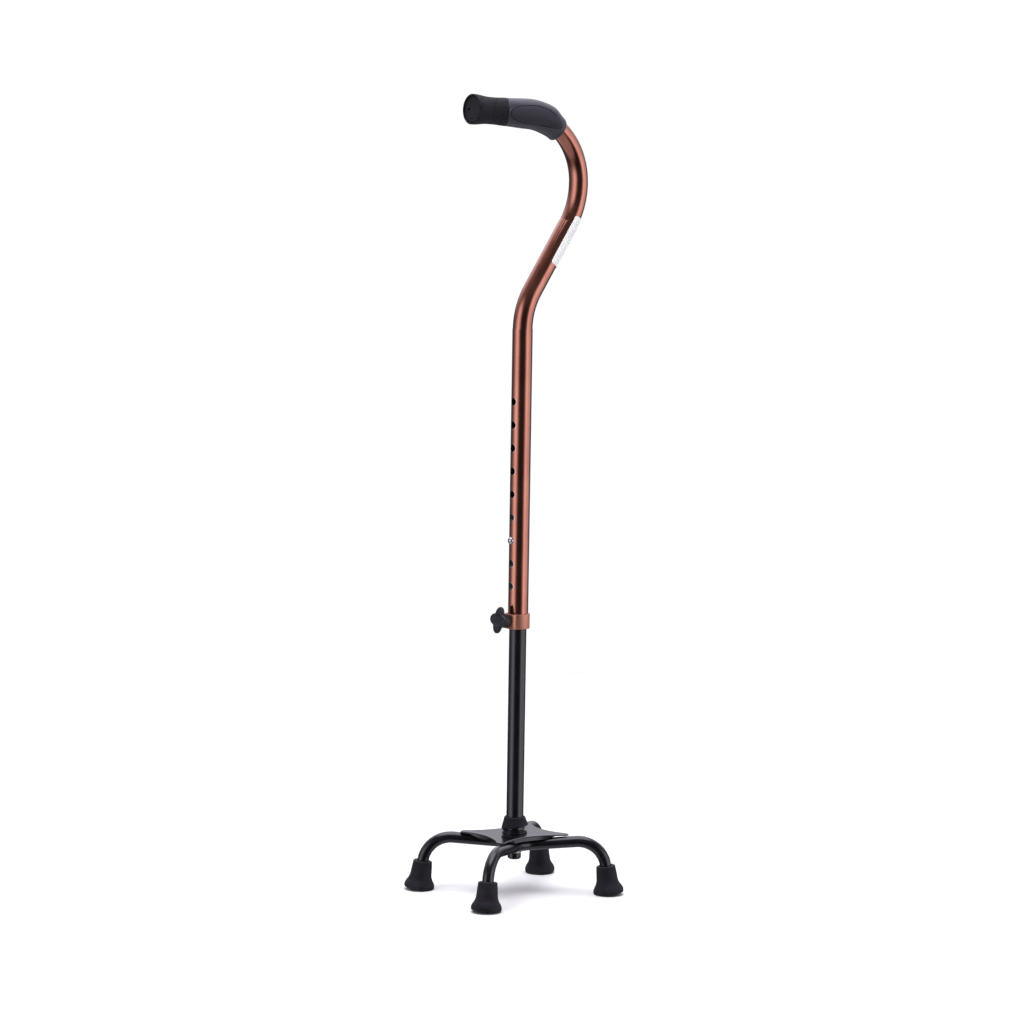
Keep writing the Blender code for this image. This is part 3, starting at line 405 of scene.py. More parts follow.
SCREW_WAY = Vector((math.cos(SCREW_TILT), 0.0, math.sin(SCREW_TILT)))
SCREW_CENTRE = UP * (BAND_BOTTOM_Z + BAND_HEIGHT / 2.0 - 2.2 * MM)      # on the pole's axis
SCREW_MATRIX = Matrix.Translation(SCREW_CENTRE) @ turn_from_up(SCREW_WAY)


def knob_ring(scale, height, steps):
    points = []
    for angle in full_turn(steps):
        lobe = 0.5 + 0.5 * math.cos(KNOB_LOBES * angle)
        radius = (KNOB_NOTCH_R + (KNOB_R - KNOB_NOTCH_R) * lobe ** 0.8) * scale
        points.append(Vector((radius * math.cos(angle), radius * math.sin(angle), height)))
    return points


def grip_station(back):
    """Station at a distance behind the grip's front end, measured along the tube."""
    x, z, heading, total, _ = NECK[-1]
    length = total + TUBE_INSET - back
    if length <= total:
        return neck_point(length)
    extra = length - total
    return (x - math.sin(heading) * extra, z + math.cos(heading) * extra, heading, length, 0.0)


def blend(a, b, t):
    t = min(1.0, max(0.0, t))
    return a + (b - a) * t * t * (3.0 - 2.0 * t)


def grip_radius(back):
    """Outer radius of the rubber grip at a distance behind its front end."""
    if back < GRIP_SLEEVE_LENGTH:
        flare = blend(GRIP_LIP_R, GRIP_SLEEVE_R, (back - 2.0 * MM) / (20.0 * MM))
        return blend(flare, GRIP_R, (back - 30.0 * MM) / (14.0 * MM))
    swell = blend(GRIP_R, GRIP_PALM_R, (back - GRIP_SLEEVE_LENGTH) / (32.0 * MM))
    return blend(swell, GRIP_NECK_R, (back - 96.0 * MM) / (25.0 * MM))


def upward(angle):
    """Nought on the grip's underside, one on its top side."""
    return 0.5 - 0.5 * math.cos(angle)


def crowned(back, radius, angle):
    """The top side draws in towards the grip's cut end."""
    return radius - blend(0.0, GRIP_CROWN, (back - 101.0 * MM) / (19.0 * MM)) * upward(angle)


def skewed(back, angle, scallop):
    """The sides reach further forward by the scallop; the rear end is raked."""
    rake = blend(0.0, GRIP_RAKE, (back - 95.0 * MM) / (GRIP_ARC_LENGTH - 95.0 * MM))
    return grip_station(back - scallop * math.sin(angle) ** 2 - rake * upward(angle))


def grip_point(back, radius, angle, scallop=0.0):
    reach = crowned(back, radius, angle)
    return around(skewed(back, angle, scallop), reach, reach, angle)


def grip_ring(back, radius, sides, scallop=0.0):
    return [grip_point(back, radius, angle, scallop) for angle in full_turn(sides)]


def tube_clear(back, sides, scallop=0.0, square=False):
    """Bore of the grip, one gap clear of the oval tube inside it."""
    points = []
    for angle in full_turn(sides):
        station = grip_station(back) if square else skewed(back, angle, scallop)
        points.append(around(station, *(half + GAP for half in oval(station, UPPER_R)), angle))
    return points


# ---------------------------------------------------------------- mesh helpers
def rounded(profile, amount, steps=3):
    """Round the corners of a closed (radius, height) outline; points on the axis stay."""
    points = []
    for i, (radius, height) in enumerate(profile):
        if radius < 1e-6:
            points.append((radius, height))
            continue
        here = Vector((radius, height))
        before = Vector(profile[i - 1]) - here
        after = Vector(profile[(i + 1) % len(profile)]) - here
        start = here + before.normalized() * min(amount, before.length * 0.45)
        end = here + after.normalized() * min(amount, after.length * 0.45)
        points += [tuple(curve(start, here, end, k / steps)) for k in range(steps + 1)]
    return points


def add(name, data):
    obj = bpy.data.objects.new(name, data)
    bpy.context.scene.collection.objects.link(obj)
    return obj


def plain_mesh(bm):
    mesh = bpy.data.meshes.new("mesh")
    bm.to_mesh(mesh)
    bm.free()
    return mesh


def smooth_mesh(bm, smooth_deg):
    bmesh.ops.remove_doubles(bm, verts=bm.verts, dist=1e-7)
    bmesh.ops.recalc_face_normals(bm, faces=bm.faces)
    mesh = plain_mesh(bm)
    mesh.shade_smooth()
    mesh.set_sharp_from_angle(angle=math.radians(smooth_deg))
    return mesh


def cut(mesh, cutters):
    """The mesh with closed cutter shapes taken away, as a new mesh."""
    target = add("cut_target", mesh)
    temporary = [target]
    for bm in cutters:
        bmesh.ops.recalc_face_normals(bm, faces=bm.faces)
        tool = add("cutter", plain_mesh(bm))
        temporary.append(tool)
        modifier = target.modifiers.new("cut", "BOOLEAN")
        modifier.operation = "DIFFERENCE"
        modifier.solver = "EXACT"
        modifier.object = tool
    evaluated = target.evaluated_get(bpy.context.evaluated_depsgraph_get())
    result = bpy.data.meshes.new_from_object(evaluated)
    for obj in temporary:
        bpy.data.objects.remove(obj, do_unlink=True)
    result.set_sharp_from_angle(angle=math.radians(40.0))
    return result


def keep_round(mesh, low_z, high_z):
    """Shade the walls of a cut vertical tube as truly round again."""
    normals = [Vector(corner.vector) for corner in mesh.corner_normals]
    for polygon in mesh.polygons:
        out = Vector((polygon.center.x, polygon.center.y, 0.0)).normalized()
        facing = out.dot(polygon.normal)
        if abs(facing) < 0.96 or not low_z < polygon.center.z < high_z:
            continue
        for loop in polygon.loop_indices:
            point = mesh.vertices[mesh.loops[loop].vertex_index].co
            radial = Vector((point.x, point.y, 0.0)).normalized()
            normals[loop] = radial if facing > 0.0 else -radial
    mesh.normals_split_custom_set(normals)


def piece(name, mesh, look, node):
    """Put a finished mesh in the scene, with one of the looks, in place of its plain solid."""
    mesh.name = name
    mesh.materials.clear()
    mesh.materials.append(LOOKS[look])
    obj = add(name, mesh)
    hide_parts(node)
    return obj


def place(name, mesh, look, body, node):
    """The same, riding on its moving body."""
    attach(piece(name, mesh, look, node), body)


# ---------------------------------------------------------------- base
def build_plate():
    outline = star_outline(10, 40)
    middle = inset_outline(outline, PLATE_THICKNESS / 2.0)
    inner = inset_outline(outline, PLATE_THICKNESS)
    hole = [p.normalized() * (BOLT_R + 0.5 * MM) for p in outline]
    rings = [lifted(hole, PLATE_TOP_Z), lifted(inset_outline(outline, 5.0 * MM), PLATE_TOP_Z)]
    for turn in quarter_turn(6):
        soft = inset_outline(outline, 2.0 * MM * (1.0 - math.sin(turn)))
        rings.append(lifted(soft, PLATE_TOP_Z - 1.5 * MM * (1.0 - math.cos(turn))))
    depths = [flange_depth(point) for point in outline]
    for row, rise in ((outline, 0.25 * MM), (middle, 0.0), (inner, 0.25 * MM)):
        rings.append([Vector((p.x, p.y, PLATE_TOP_Z - depth + rise)) for p, depth in zip(row, depths)])
    rings += [lifted(inner, PLATE_TOP_Z - PLATE_THICKNESS), lifted(hole, PLATE_TOP_Z - PLATE_THICKNESS)]
    mesh = smooth_mesh(loft(rings, closed=True), 50.0)
    place("plate_pressing", mesh, "black_gloss", "base", "base_plate")


def build_leg_tubes():
    for side_name, sign_y in (("left", 1), ("right", -1)):
        knees = [leg_axis(sign_x, sign_y)[1] for sign_x in (1, -1)]
        feet = [sole_centre(sign_x, sign_y) - leg_down(sign_x, sign_y) * (8.6 * MM) for sign_x in (1, -1)]
        middle = Vector((0.0, sign_y * LEG_BOW_Y, LEG_MID_Z))
        corners = [feet[0], knees[0], middle, knees[1], feet[1]]
        path = rounded_path(corners, [LEG_BEND_R, LEG_BOW_R, LEG_BEND_R], 28)
        rings = tube_rings(path, LEG_R, 48) + tube_rings(path, LEG_R - LEG_WALL, 48)[::-1]
        place("bent_leg_" + side_name, smooth_mesh(loft(rings, closed=True), 40.0), "black_gloss", "base",
              "leg_tube_" + side_name)


def ferrule_outline():
    """Radius and height above the sole: trodden rings below, a bell, a thick lip at the rim."""
    bore = LEG_R + 1.5 * GAP
    wide, rim, top = FERRULE_BASE_R, FERRULE_RIM_R, FERRULE_HEIGHT
    sole = [(0.0, 0.0)]
    for radius in (3.6, 6.6, 9.6, 12.6):
        sole += [(radius * MM, 0.0), ((radius + 0.3) * MM, 1.3 * MM),
                 ((radius + 1.0) * MM, 1.3 * MM), ((radius + 1.3) * MM, 0.0)]
    bell = ((15.3, 7.2), (14.3, 8.6), (13.4, 10.1), (12.7, 11.8), (12.2, 13.4), (11.9, 15.2))
    side = [(wide - 0.5 * MM, 0.0), (wide, 0.8 * MM), (wide, 3.4 * MM), (wide - 0.1 * MM, 4.2 * MM),
            (wide - 0.7 * MM, 5.6 * MM)]
    side += [(radius * MM, height * MM) for radius, height in bell]
    side += [(rim + 0.45 * MM, top - 4.0 * MM), (rim + 0.15 * MM, top - 3.6 * MM),
             (rim + 0.1 * MM, top - 3.0 * MM), (rim + 0.3 * MM, top - 2.6 * MM), (rim, top - 0.6 * MM),
             (rim - 0.8 * MM, top), (bore + 0.2 * MM, top), (bore, top - 0.4 * MM), (bore, 6.2 * MM),
             (0.0, 6.2 * MM)]
    return sole + rounded(side, 0.35 * MM, 2)


def build_ferrules():
    corners = (("front_left", 1, 1), ("front_right", 1, -1), ("rear_left", -1, 1), ("rear_right", -1, -1))
    for name, sign_x, sign_y in corners:
        stand = Matrix.Translation(sole_centre(sign_x, sign_y)) @ turn_from_up(-leg_down(sign_x, sign_y))
        bm = turned(ferrule_outline(), 96, stand)
        for vert in bm.verts:
            vert.co.z = max(vert.co.z, 0.0)
        place("rubber_tip_" + name, smooth_mesh(bm, 42.0), "black_rubber", "base", "ferrule_" + name)


def build_socket_and_boot():
    bore = LOWER_R + GAP
    neck_r, top = 10.9 * MM, BOOT_TOP_Z - 2.6 * MM
    steps = ((14.0, 0.0), (14.0, 1.4), (12.3, 1.7), (12.3, 2.3), (13.6, 2.6), (13.6, 3.4), (10.9, 3.7))
    foot_z = PLATE_TOP_Z + GAP
    socket = [(bore, foot_z)] + [(radius * MM, foot_z + rise * MM) for radius, rise in steps]
    socket += [(neck_r, top), (bore, top)]
    mesh = smooth_mesh(turned(rounded(socket, 0.35 * MM), 96), 45.0)
    place("pole_socket", mesh, "black_gloss", "base", "tube_socket")

    wide = neck_r + GAP
    ledge = BOOT_TOP_Z - 2.2 * MM
    slope_low, slope_high = BOOT_LOW_Z + 1.6 * MM, BOOT_TOP_Z - 0.8 * MM
    boot = [(wide, BOOT_LOW_Z), (BOOT_R - 0.4 * MM, BOOT_LOW_Z), (BOOT_R, BOOT_LOW_Z + 0.4 * MM),
            (BOOT_R, slope_low)]
    for t in (0.25, 0.5, 0.75):
        radius = BOOT_R + (BOOT_TOP_R + 0.3 * MM - BOOT_R) * t
        height = slope_low + (slope_high - slope_low) * t
        boot += [(radius + 0.05 * MM, height - 0.5 * MM), (radius - 0.35 * MM, height),
                 (radius - 0.05 * MM, height + 0.5 * MM)]
    boot += [(BOOT_TOP_R + 0.3 * MM, slope_high), (BOOT_TOP_R - 0.5 * MM, BOOT_TOP_Z), (bore, BOOT_TOP_Z),
             (bore, ledge), (wide, ledge)]
    bm = turned(rounded(boot, 0.25 * MM, 2), 96)
    to_side = Vector((-0.816, 0.578))
    for vert in bm.verts:
        share = min(1.0, max(0.0, (slope_high - vert.co.z) / (slope_high - slope_low)))
        vert.co.z += BOOT_SKEW * share * (vert.co.x * to_side.x + vert.co.y * to_side.y)
    place("pole_boot", smooth_mesh(bm, 45.0), "black_rubber", "base", "boot")


def sleeve_outline(inner, outer, low, high):
    return [(inner, low), (outer, low), (outer, high), (inner, high)]


def build_base_bolt():
    low, head_r = BOLT_HEAD_LOW_Z, BOLT_HEAD_R
    head_top = low + 7.0 * MM
    hexagon = 3.1 * MM
    washer = 1.8 * MM
    thread_r = BOLT_R + 1.5 * GAP
    bolt = [(0.0, low + 2.6 * MM), (hexagon, low + 2.6 * MM), (hexagon, low + 0.5 * MM),
            (hexagon + 0.5 * MM, low), (head_r - 1.4 * MM, low), (head_r, low + 1.2 * MM),
            (head_r, head_top), (BOLT_R, head_top), (BOLT_R, 88.0 * MM), (0.0, 88.0 * MM)]
    spacer = sleeve_outline(thread_r, head_r, head_top + 2.0 * GAP + washer,
                            PLATE_TOP_Z - PLATE_THICKNESS - GAP)
    disc = sleeve_outline(thread_r, head_r + 0.6 * MM, head_top + GAP, head_top + GAP + washer)
    for name, profile, soft, look, node in (
            ("pole_bolt", bolt, 0.4, "black_gloss", "base_bolt"),
            ("bolt_sleeve", spacer, 0.4, "black_gloss", "base_spacer"),
            ("bolt_head_washer", disc, 0.3, "zinc", "bolt_washer")):
        place(name, smooth_mesh(turned(rounded(profile, soft * MM), 72), 40.0), look, "base", node)


# ---------------------------------------------------------------- pole
def build_lower_tube():
    profile = sleeve_outline(LOWER_R - LOWER_WALL, LOWER_R, LOWER_BOTTOM_Z, LOWER_TOP_Z)
    mesh = smooth_mesh(turned(rounded(profile, 0.25 * MM), 96), 40.0)
    z = button_z()
    mesh = cut(mesh, [rod(Vector((4.0 * MM, 0.0, z)), Vector((14.0 * MM, 0.0, z)), HOLE_R, 40)])
    keep_round(mesh, LOWER_BOTTOM_Z + 1.0 * MM, LOWER_TOP_Z - 1.0 * MM)
    place("inner_pole", mesh, "pole_black", "base", "lower_tube")


def build_button():
    back = 7.1 * MM
    tip = UPPER_R + BUTTON_PROUD
    shoulder = tip - 2.6 * MM
    dome = quarter_turn(16)[1:-1]
    profile = [(0.0, back), (BUTTON_R, back), (BUTTON_R, shoulder)]
    profile += [(BUTTON_R * math.cos(a), shoulder + (tip - shoulder) * math.sin(a)) for a in dome]
    profile.append((0.0, tip))
    at = Matrix.Translation(UP * button_z()) @ Matrix.Rotation(math.pi / 2.0, 4, "Y")
    place("spring_button", smooth_mesh(turned(profile, 64, at), 40.0), "steel", "button", "snap_button")


def build_spring():
    """V of flat spring steel; on the real cane its front arm goes in with the button and its rear arm stays
    on the tube, but here the spring is one fixed piece that does not bend.
    """
    z = button_z()
    corners = [(6.4 * MM, 0.0, z + 9.0 * MM), (6.4 * MM, 0.0, z - 7.0 * MM),
               (0.0, 0.0, z - 44.0 * MM), (-6.6 * MM, 0.0, z + 4.0 * MM)]
    bends = rounded_path(corners, [12.0 * MM, 2.2 * MM], 14)
    path = [bends[0]]
    for before, after in zip(bends, bends[1:]):
        pieces = max(1, int((after - before).length / (1.5 * MM)))
        path += [before.lerp(after, (k + 1) / pieces) for k in range(pieces)]
    section = [(0.22, 3.6), (0.30, 3.4), (0.30, -3.4), (0.22, -3.6),
               (-0.22, -3.6), (-0.30, -3.4), (-0.30, 3.4), (-0.22, 3.6)]
    rings = []
    for point, tangent in zip(path, tangents(path)):
        normal = ACROSS.cross(tangent)
        rings.append([point + normal * (thick * MM) + ACROSS * (wide * MM) for thick, wide in section])
    spring = piece("leaf_spring", smooth_mesh(loft(rings), 30.0), "steel", "snap_spring")
    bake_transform(spring)


def build_upper_tube():
    near, far = 5.0 * MM, 14.0 * MM
    rings = neck_rings(UPPER_R, 96) + neck_rings(UPPER_R - UPPER_WALL, 96)[::-1]
    mesh = smooth_mesh(loft(rings, closed=True), 40.0)
    heights = [HOLE_TOP_Z - i * HOLE_PITCH for i in range(HOLE_COUNT)]
    tools = [rod(Vector((near, 0.0, z)), Vector((far, 0.0, z)), HOLE_R, 48) for z in heights]
    half = SLIT_WIDTH / 2.0
    slit = block((near, -half, UPPER_BOTTOM_Z - 5.0 * MM), (far, half, SLIT_TOP_Z - half))
    slit.transform(Matrix.Rotation(SLIT_TURN, 4, "Z"))
    way = Vector((math.cos(SLIT_TURN), math.sin(SLIT_TURN), 0.0))
    end = UP * (SLIT_TOP_Z - half)
    middle = BAND_BOTTOM_Z + BAND_HEIGHT / 2.0
    room = 6.2 * MM
    tools += [slit, rod(end + way * near, end + way * far, half, 24),
              block((near, -room, middle - room), (far, room, middle + room))]
    mesh = cut(mesh, tools)
    keep_round(mesh, UPPER_BOTTOM_Z - 1.0 * MM, NECK_START_Z)
    place("swan_neck_tube", mesh, "copper", "upper", "upper_tube")


def band_outline(circle_r, front_x, half_width, z):
    """The band's outline at one height, its corners softened by averaging neighbours."""
    points = []
    for angle in full_turn(180):
        r = band_radius(angle, circle_r, front_x, half_width)
        points.append(Vector((r * math.cos(angle), r * math.sin(angle), z)))
    for _ in range(3):
        points = [(points[i - 1] + points[i] * 2.0 + points[(i + 1) % 180]) / 4.0 for i in range(180)]
    return points


def build_band():
    low, high = BAND_BOTTOM_Z, BAND_BOTTOM_Z + BAND_HEIGHT
    inside = (UPPER_R + GAP, BAND_FRONT_X - BAND_WALL, BAND_HALF_WIDTH - BAND_WALL)
    soft = 0.45 * MM
    rings = [band_outline(*inside, low)]
    for end, sign, turns in ((low, 1.0, quarter_turn(4)), (high, -1.0, quarter_turn(4)[::-1])):
        for turn in turns:
            inset = soft * (1.0 - math.sin(turn))
            rings.append(band_outline(BAND_R - inset, BAND_FRONT_X - inset, BAND_HALF_WIDTH - inset,
                                      end + sign * soft * (1.0 - math.cos(turn))))
    rings.append(band_outline(*inside, high))
    hole = rod(SCREW_CENTRE + SCREW_WAY * (6.0 * MM), SCREW_CENTRE + SCREW_WAY * (20.0 * MM),
               SCREW_R + 0.9 * MM, 48)
    mesh = cut(smooth_mesh(loft(rings, closed=True), 50.0), [hole])
    place("clamp_collar", mesh, "copper_satin_painted_highlight", "upper", "clamp_band")


def build_knob():
    steps = 192
    back, star, front = KNOB_BACK_X, KNOB_STAR_X, KNOB_FRONT_X
    bore_end = front - 3.0 * MM
    hub = [(SCREW_R + GAP, bore_end), (SCREW_R + GAP, back), (KNOB_HUB_R - 0.8 * MM, back),
           (KNOB_HUB_R - 0.2 * MM, back + 0.2 * MM), (KNOB_HUB_R, back + 0.8 * MM),
           (KNOB_HUB_R, star - 1.0 * MM), (KNOB_HUB_R + 0.3 * MM, star - 0.3 * MM),
           (KNOB_HUB_R + 1.0 * MM, star)]
    dish = [(7.2 * MM, front), (6.6 * MM, front - 0.15 * MM), (6.0 * MM, front - 0.75 * MM),
            (5.4 * MM, front - 0.9 * MM), (1.0 * MM, front - 0.9 * MM)]

    def round_rings(outline):
        front_way = Vector((1.0, 0.0, 0.0))
        return [ring(UP * height, front_way, ACROSS, radius, steps) for radius, height in outline]

    rings = round_rings(hub)
    for turn in quarter_turn(5):
        rise = 1.2 * MM * (1.0 - math.cos(turn))
        rings.append(knob_ring(0.92 + 0.08 * math.sin(turn), star + rise, steps))
    for turn in quarter_turn(8):
        fall = 1.8 * MM * (1.0 - math.sin(turn))
        rings.append(knob_ring(0.82 + 0.18 * math.cos(turn), front - fall, steps))
    bm = loft(rings + round_rings(dish))
    bm.transform(SCREW_MATRIX @ Matrix.Rotation(KNOB_PHASE + math.pi, 4, "Z"))
    place("star_knob", smooth_mesh(bm, 50.0), "knob_plastic", "knob", "knob_head")
    end = bore_end - GAP
    screw = [(0.0, 12.1 * MM), (SCREW_R - 0.6 * MM, 12.1 * MM)]
    for i in range(int((end - 14.2 * MM) / (1.0 * MM))):
        base = 12.9 * MM + i * 1.0 * MM
        screw += [(SCREW_R - 0.5 * MM, base), (SCREW_R, base + 0.45 * MM), (SCREW_R, base + 0.6 * MM)]
    screw += [(SCREW_R, end - 0.4 * MM), (SCREW_R - 0.4 * MM, end), (0.0, end)]
    place("knob_thread", smooth_mesh(turned(screw, 48, SCREW_MATRIX), 35.0), "zinc", "knob", "knob_screw")


# ---------------------------------------------------------------- grip
INLAY_MIDDLE = 78.5 * MM
INLAY_HALF_LENGTH = 36.5 * MM
INLAY_HALF_ANGLE = math.radians(37.0)
INLAY_CENTRE = math.radians(84.0)
INLAY_TAPER = 0.16                  # the inlay is narrower towards the grip's cut end


def inlay_margin(back, angle):
    """Rough distance in metres outside (+) or inside (-) the edge of the inlay on a side."""
    along = (back - INLAY_MIDDLE) / INLAY_HALF_LENGTH
    across = (min(angle, 2.0 * math.pi - angle) - INLAY_CENTRE) / INLAY_HALF_ANGLE
    reach = max(math.hypot(along, across), 1e-6)
    for _ in range(6):
        reach = math.hypot(along, across / (1.0 - INLAY_TAPER * max(-1.0, min(1.0, along / reach))))
        reach = max(reach, 1e-6)
    span = math.hypot(along * INLAY_HALF_LENGTH, across * INLAY_HALF_ANGLE * 15.5 * MM) / reach
    return (reach - 1.0) * span


SCALLOP = 4.6 * MM


def build_sleeve():
    sides = 192
    end = GRIP_SLEEVE_LENGTH
    lip = ((3.6 * MM, 14.6 * MM), (1.2 * MM, 14.9 * MM), (0.3 * MM, 15.1 * MM), (0.0, 15.5 * MM),
           (0.15 * MM, GRIP_LIP_R - 0.35 * MM), (0.6 * MM, GRIP_LIP_R))
    rings = [tube_clear(3.6 * MM, sides)] + [grip_ring(back, radius, sides) for back, radius in lip]
    backs = [(1.0 + 0.7 * i) * MM for i in range(int((end / MM - 7.0) / 0.7))]
    rings += [grip_ring(back, grip_radius(back), sides) for back in backs]
    for k in range(1, 9):
        back = backs[-1] + (end - 0.4 * MM - backs[-1]) * k / 8
        rings.append(grip_ring(back, grip_radius(back), sides, SCALLOP * k / 8))
    rings += [grip_ring(end, grip_radius(end) - 0.35 * MM, sides, SCALLOP), tube_clear(end, sides, SCALLOP)]
    mesh = smooth_mesh(loft(rings, closed=True), 45.0)
    place("textured_sleeve", mesh, "grip_rough", "upper", "grip_sleeve")


def build_grip_body():
    sides = 256
    count = 190
    start = GRIP_SLEEVE_LENGTH + 1.6 * GAP
    stop = GRIP_ARC_LENGTH
    rings = [tube_clear(start, sides, SCALLOP),
             grip_ring(start, grip_radius(start) - 0.4 * MM, sides, SCALLOP)]
    for k in range(count):
        back = start + 0.4 * MM + (stop - 2.2 * MM - start) * k / (count - 1)
        scallop = SCALLOP * max(0.0, 1.0 - (back - start) / (9.0 * MM))
        points = []
        for angle in full_turn(sides):
            margin = inlay_margin(back - scallop * math.sin(angle) ** 2, angle)
            sink = 1.5 * MM * (1.0 - blend(0.0, 1.0, (margin - 0.45 * MM) / (0.6 * MM)))
            points.append(grip_point(back, grip_radius(back) - sink, angle, scallop))
        rings.append(points)
    for short, less in ((1.2, 0.05), (0.5, 0.3), (0.1, 0.8), (0.0, 1.4)):
        rings.append(grip_ring(stop - short * MM, GRIP_NECK_R - less * MM, sides))
    rings.append(tube_clear(stop, sides))
    bends = {NECK[-1][3] + TUBE_INSET - station[3] for station in NECK}
    bends = sorted((b for b in bends if start + 6.0 * MM < b < stop - 5.0 * MM), reverse=True)
    rings += [tube_clear(back, sides, square=True) for back in bends[::3]]
    mesh = smooth_mesh(loft(rings, closed=True), 55.0)
    place("moulded_grip", mesh, "grip_rubber", "upper", "grip_body")


def build_inlays():
    radii = [0.03] + [0.1 * i for i in range(1, 9)] + [0.86, 0.91, 0.95, 0.98, 1.0, 1.0]
    sinks = [-0.25 * (1.0 - t * t) for t in radii[:-3]] + [0.12, 0.4, 1.2]
    for side_name, sign in (("left", 1.0), ("right", -1.0)):
        rings = []
        for t, sink in zip(radii, sinks):
            points = []
            for turn in full_turn(120):
                back = INLAY_MIDDLE + INLAY_HALF_LENGTH * t * math.cos(turn)
                taper = 1.0 - INLAY_TAPER * math.cos(turn)
                angle = INLAY_CENTRE + INLAY_HALF_ANGLE * taper * t * math.sin(turn)
                reach = crowned(back, grip_radius(back) - sink * MM, angle)
                points.append(around(grip_station(back), reach, sign * reach, angle))
            rings.append(points)
        place("soft_inlay_" + side_name, smooth_mesh(loft(rings), 50.0), "grip_inlay", "upper",
              "grip_inlay_" + side_name)


def build_grip_end():
    x, z, heading, _, _ = grip_station(1.7 * MM)
    along = Vector((-math.sin(heading), 0.0, math.cos(heading)))
    at = Matrix.Translation((x, 0.0, z)) @ turn_from_up(along)
    cap = [(0.0, -1.4), (13.9, -1.4), (14.1, -0.2), (13.2, 0.05), (12.2, 0.0), (11.6, -0.5), (9.4, -0.5),
           (9.1, -0.2), (8.4, -0.2), (8.1, -0.5), (5.2, -0.5), (3.0, -0.9), (0.0, -0.9)]
    cap = [(radius * MM, height * MM) for radius, height in cap]
    mesh = smooth_mesh(turned(rounded(cap, 0.25 * MM), 96, at), 45.0)
    vent = rod(at @ Vector((0.0, VENT_Y, -4.0 * MM)), at @ Vector((0.0, VENT_Y, 3.0 * MM)), VENT_R, 32)
    place("grip_end_disc", cut(mesh, [vent]), "grip_disc", "upper", "grip_end_cap")


def build_label():
    slant = next(s for s in NECK if abs(s[2] - LEAN_BACK) < 1e-6)
    low_r = UPPER_R + GAP
    high_r = low_r + 0.2 * MM
    corner = 2.6 * MM
    count = 60
    steps = 32
    rings = []
    for k in range(count + 1):
        t = 0.5 - 0.5 * math.cos(math.pi * k / count)
        near = min(t, 1.0 - t) * LABEL_LENGTH
        cutback = corner - math.sqrt(max(0.0, corner ** 2 - max(0.0, corner - near) ** 2))
        half = LABEL_HALF_WRAP - cutback / high_r
        station = neck_point(slant[3] + LABEL_START + LABEL_LENGTH * t)
        angles = [LABEL_CENTRE + half * (2.0 * i / steps - 1.0) for i in range(steps + 1)]
        rings.append([around(station, *oval(station, high_r), angle) for angle in angles]
                     + [around(station, *oval(station, low_r), angle) for angle in angles[::-1]])
    place("blank_sticker", smooth_mesh(loft(rings), 50.0), "label", "upper", "label")


# ---------------------------------------------------------------- materials
class Graph:
    """Makes and joins the nodes of one material or world."""

    def __init__(self, tree):
        self.tree = tree

    def link(self, source, target):
        if isinstance(source, (int, float)):
            target.default_value = source
        elif isinstance(source, tuple):
            target.default_value = (*source, 1.0)[:len(target.default_value)]
        else:
            self.tree.links.new(source, target)

    def node(self, kind, **inputs):
        node = self.tree.nodes.new("ShaderNode" + kind)
        for key, source in inputs.items():
            self.link(source, node.inputs[key.replace("_", " ")])
        return node

    def maths(self, operation, *values):
        node = self.node("Math")
        node.operation = operation
        for value, socket in zip(values, node.inputs):
            self.link(value, socket)
        return node.outputs[0]

    def plus(self, first, second):
        return self.maths("ADD", first, second)

    def times(self, first, second):
        return self.maths("MULTIPLY", first, second)

    def remap(self, value, low, high, out_low=0.0, out_high=1.0):
        node = self.node("MapRange", Value=value, From_Min=low, From_Max=high,
                         To_Min=out_low, To_Max=out_high)
        node.interpolation_type = "SMOOTHSTEP"
        return node.outputs["Result"]


class Look(Graph):
    """A procedural material: a Principled shader fed by nodes on the object's own coordinates."""

    def __init__(self, name, colour, roughness, metallic=0.0, **constants):
        self.mat = bpy.data.materials.new(name)
        self.mat.use_nodes = True
        super().__init__(self.mat.node_tree)
        self.shader = self.tree.nodes["Principled BSDF"]
        constants.update(Base_Color=colour, Roughness=roughness, Metallic=metallic)
        for key, value in constants.items():
            self.link(value, self.shader.inputs[key.replace("_", " ")])
        self.coords = self.node("TexCoord").outputs["Object"]

    def noise(self, scale, detail=3.0, rough=0.55, stretch=None):
        where = self.coords
        if stretch:
            where = self.node("Mapping", Vector=where, Scale=stretch).outputs[0]
        texture = self.node("TexNoise", Vector=where, Scale=scale, Detail=detail, Roughness=rough)
        return texture.outputs["Fac"]

    def cells(self, scale, feature="F1", randomness=1.0):
        node = self.node("TexVoronoi", Vector=self.coords, Scale=scale, Randomness=randomness)
        node.feature = feature
        return node.outputs["Distance"]

    def axis(self, name):
        return self.node("SeparateXYZ", Vector=self.coords).outputs[name]

    def mix(self, share, first, second):
        node = self.node("Mix")
        node.data_type = "RGBA"
        for socket, source in ((0, share), (6, first), (7, second)):
            self.link(source, node.inputs[socket])
        return node.outputs[2]

    def clouded(self, cloud, first, second):
        return self.mix(self.remap(cloud, 0.3, 0.75), first, second)

    def done(self, tone, rough, *bumps):
        """Feed the shader its colour and roughness, and stack the bumps: height, distance, strength."""
        self.link(tone, self.shader.inputs["Base Color"])
        self.link(rough, self.shader.inputs["Roughness"])
        below = {}
        for height, distance, strength in bumps:
            node = self.node("Bump", Height=height, Distance=distance, Strength=strength, **below)
            below = {"Normal": node.outputs["Normal"]}
            self.link(below["Normal"], self.shader.inputs["Normal"])
        return self.mat


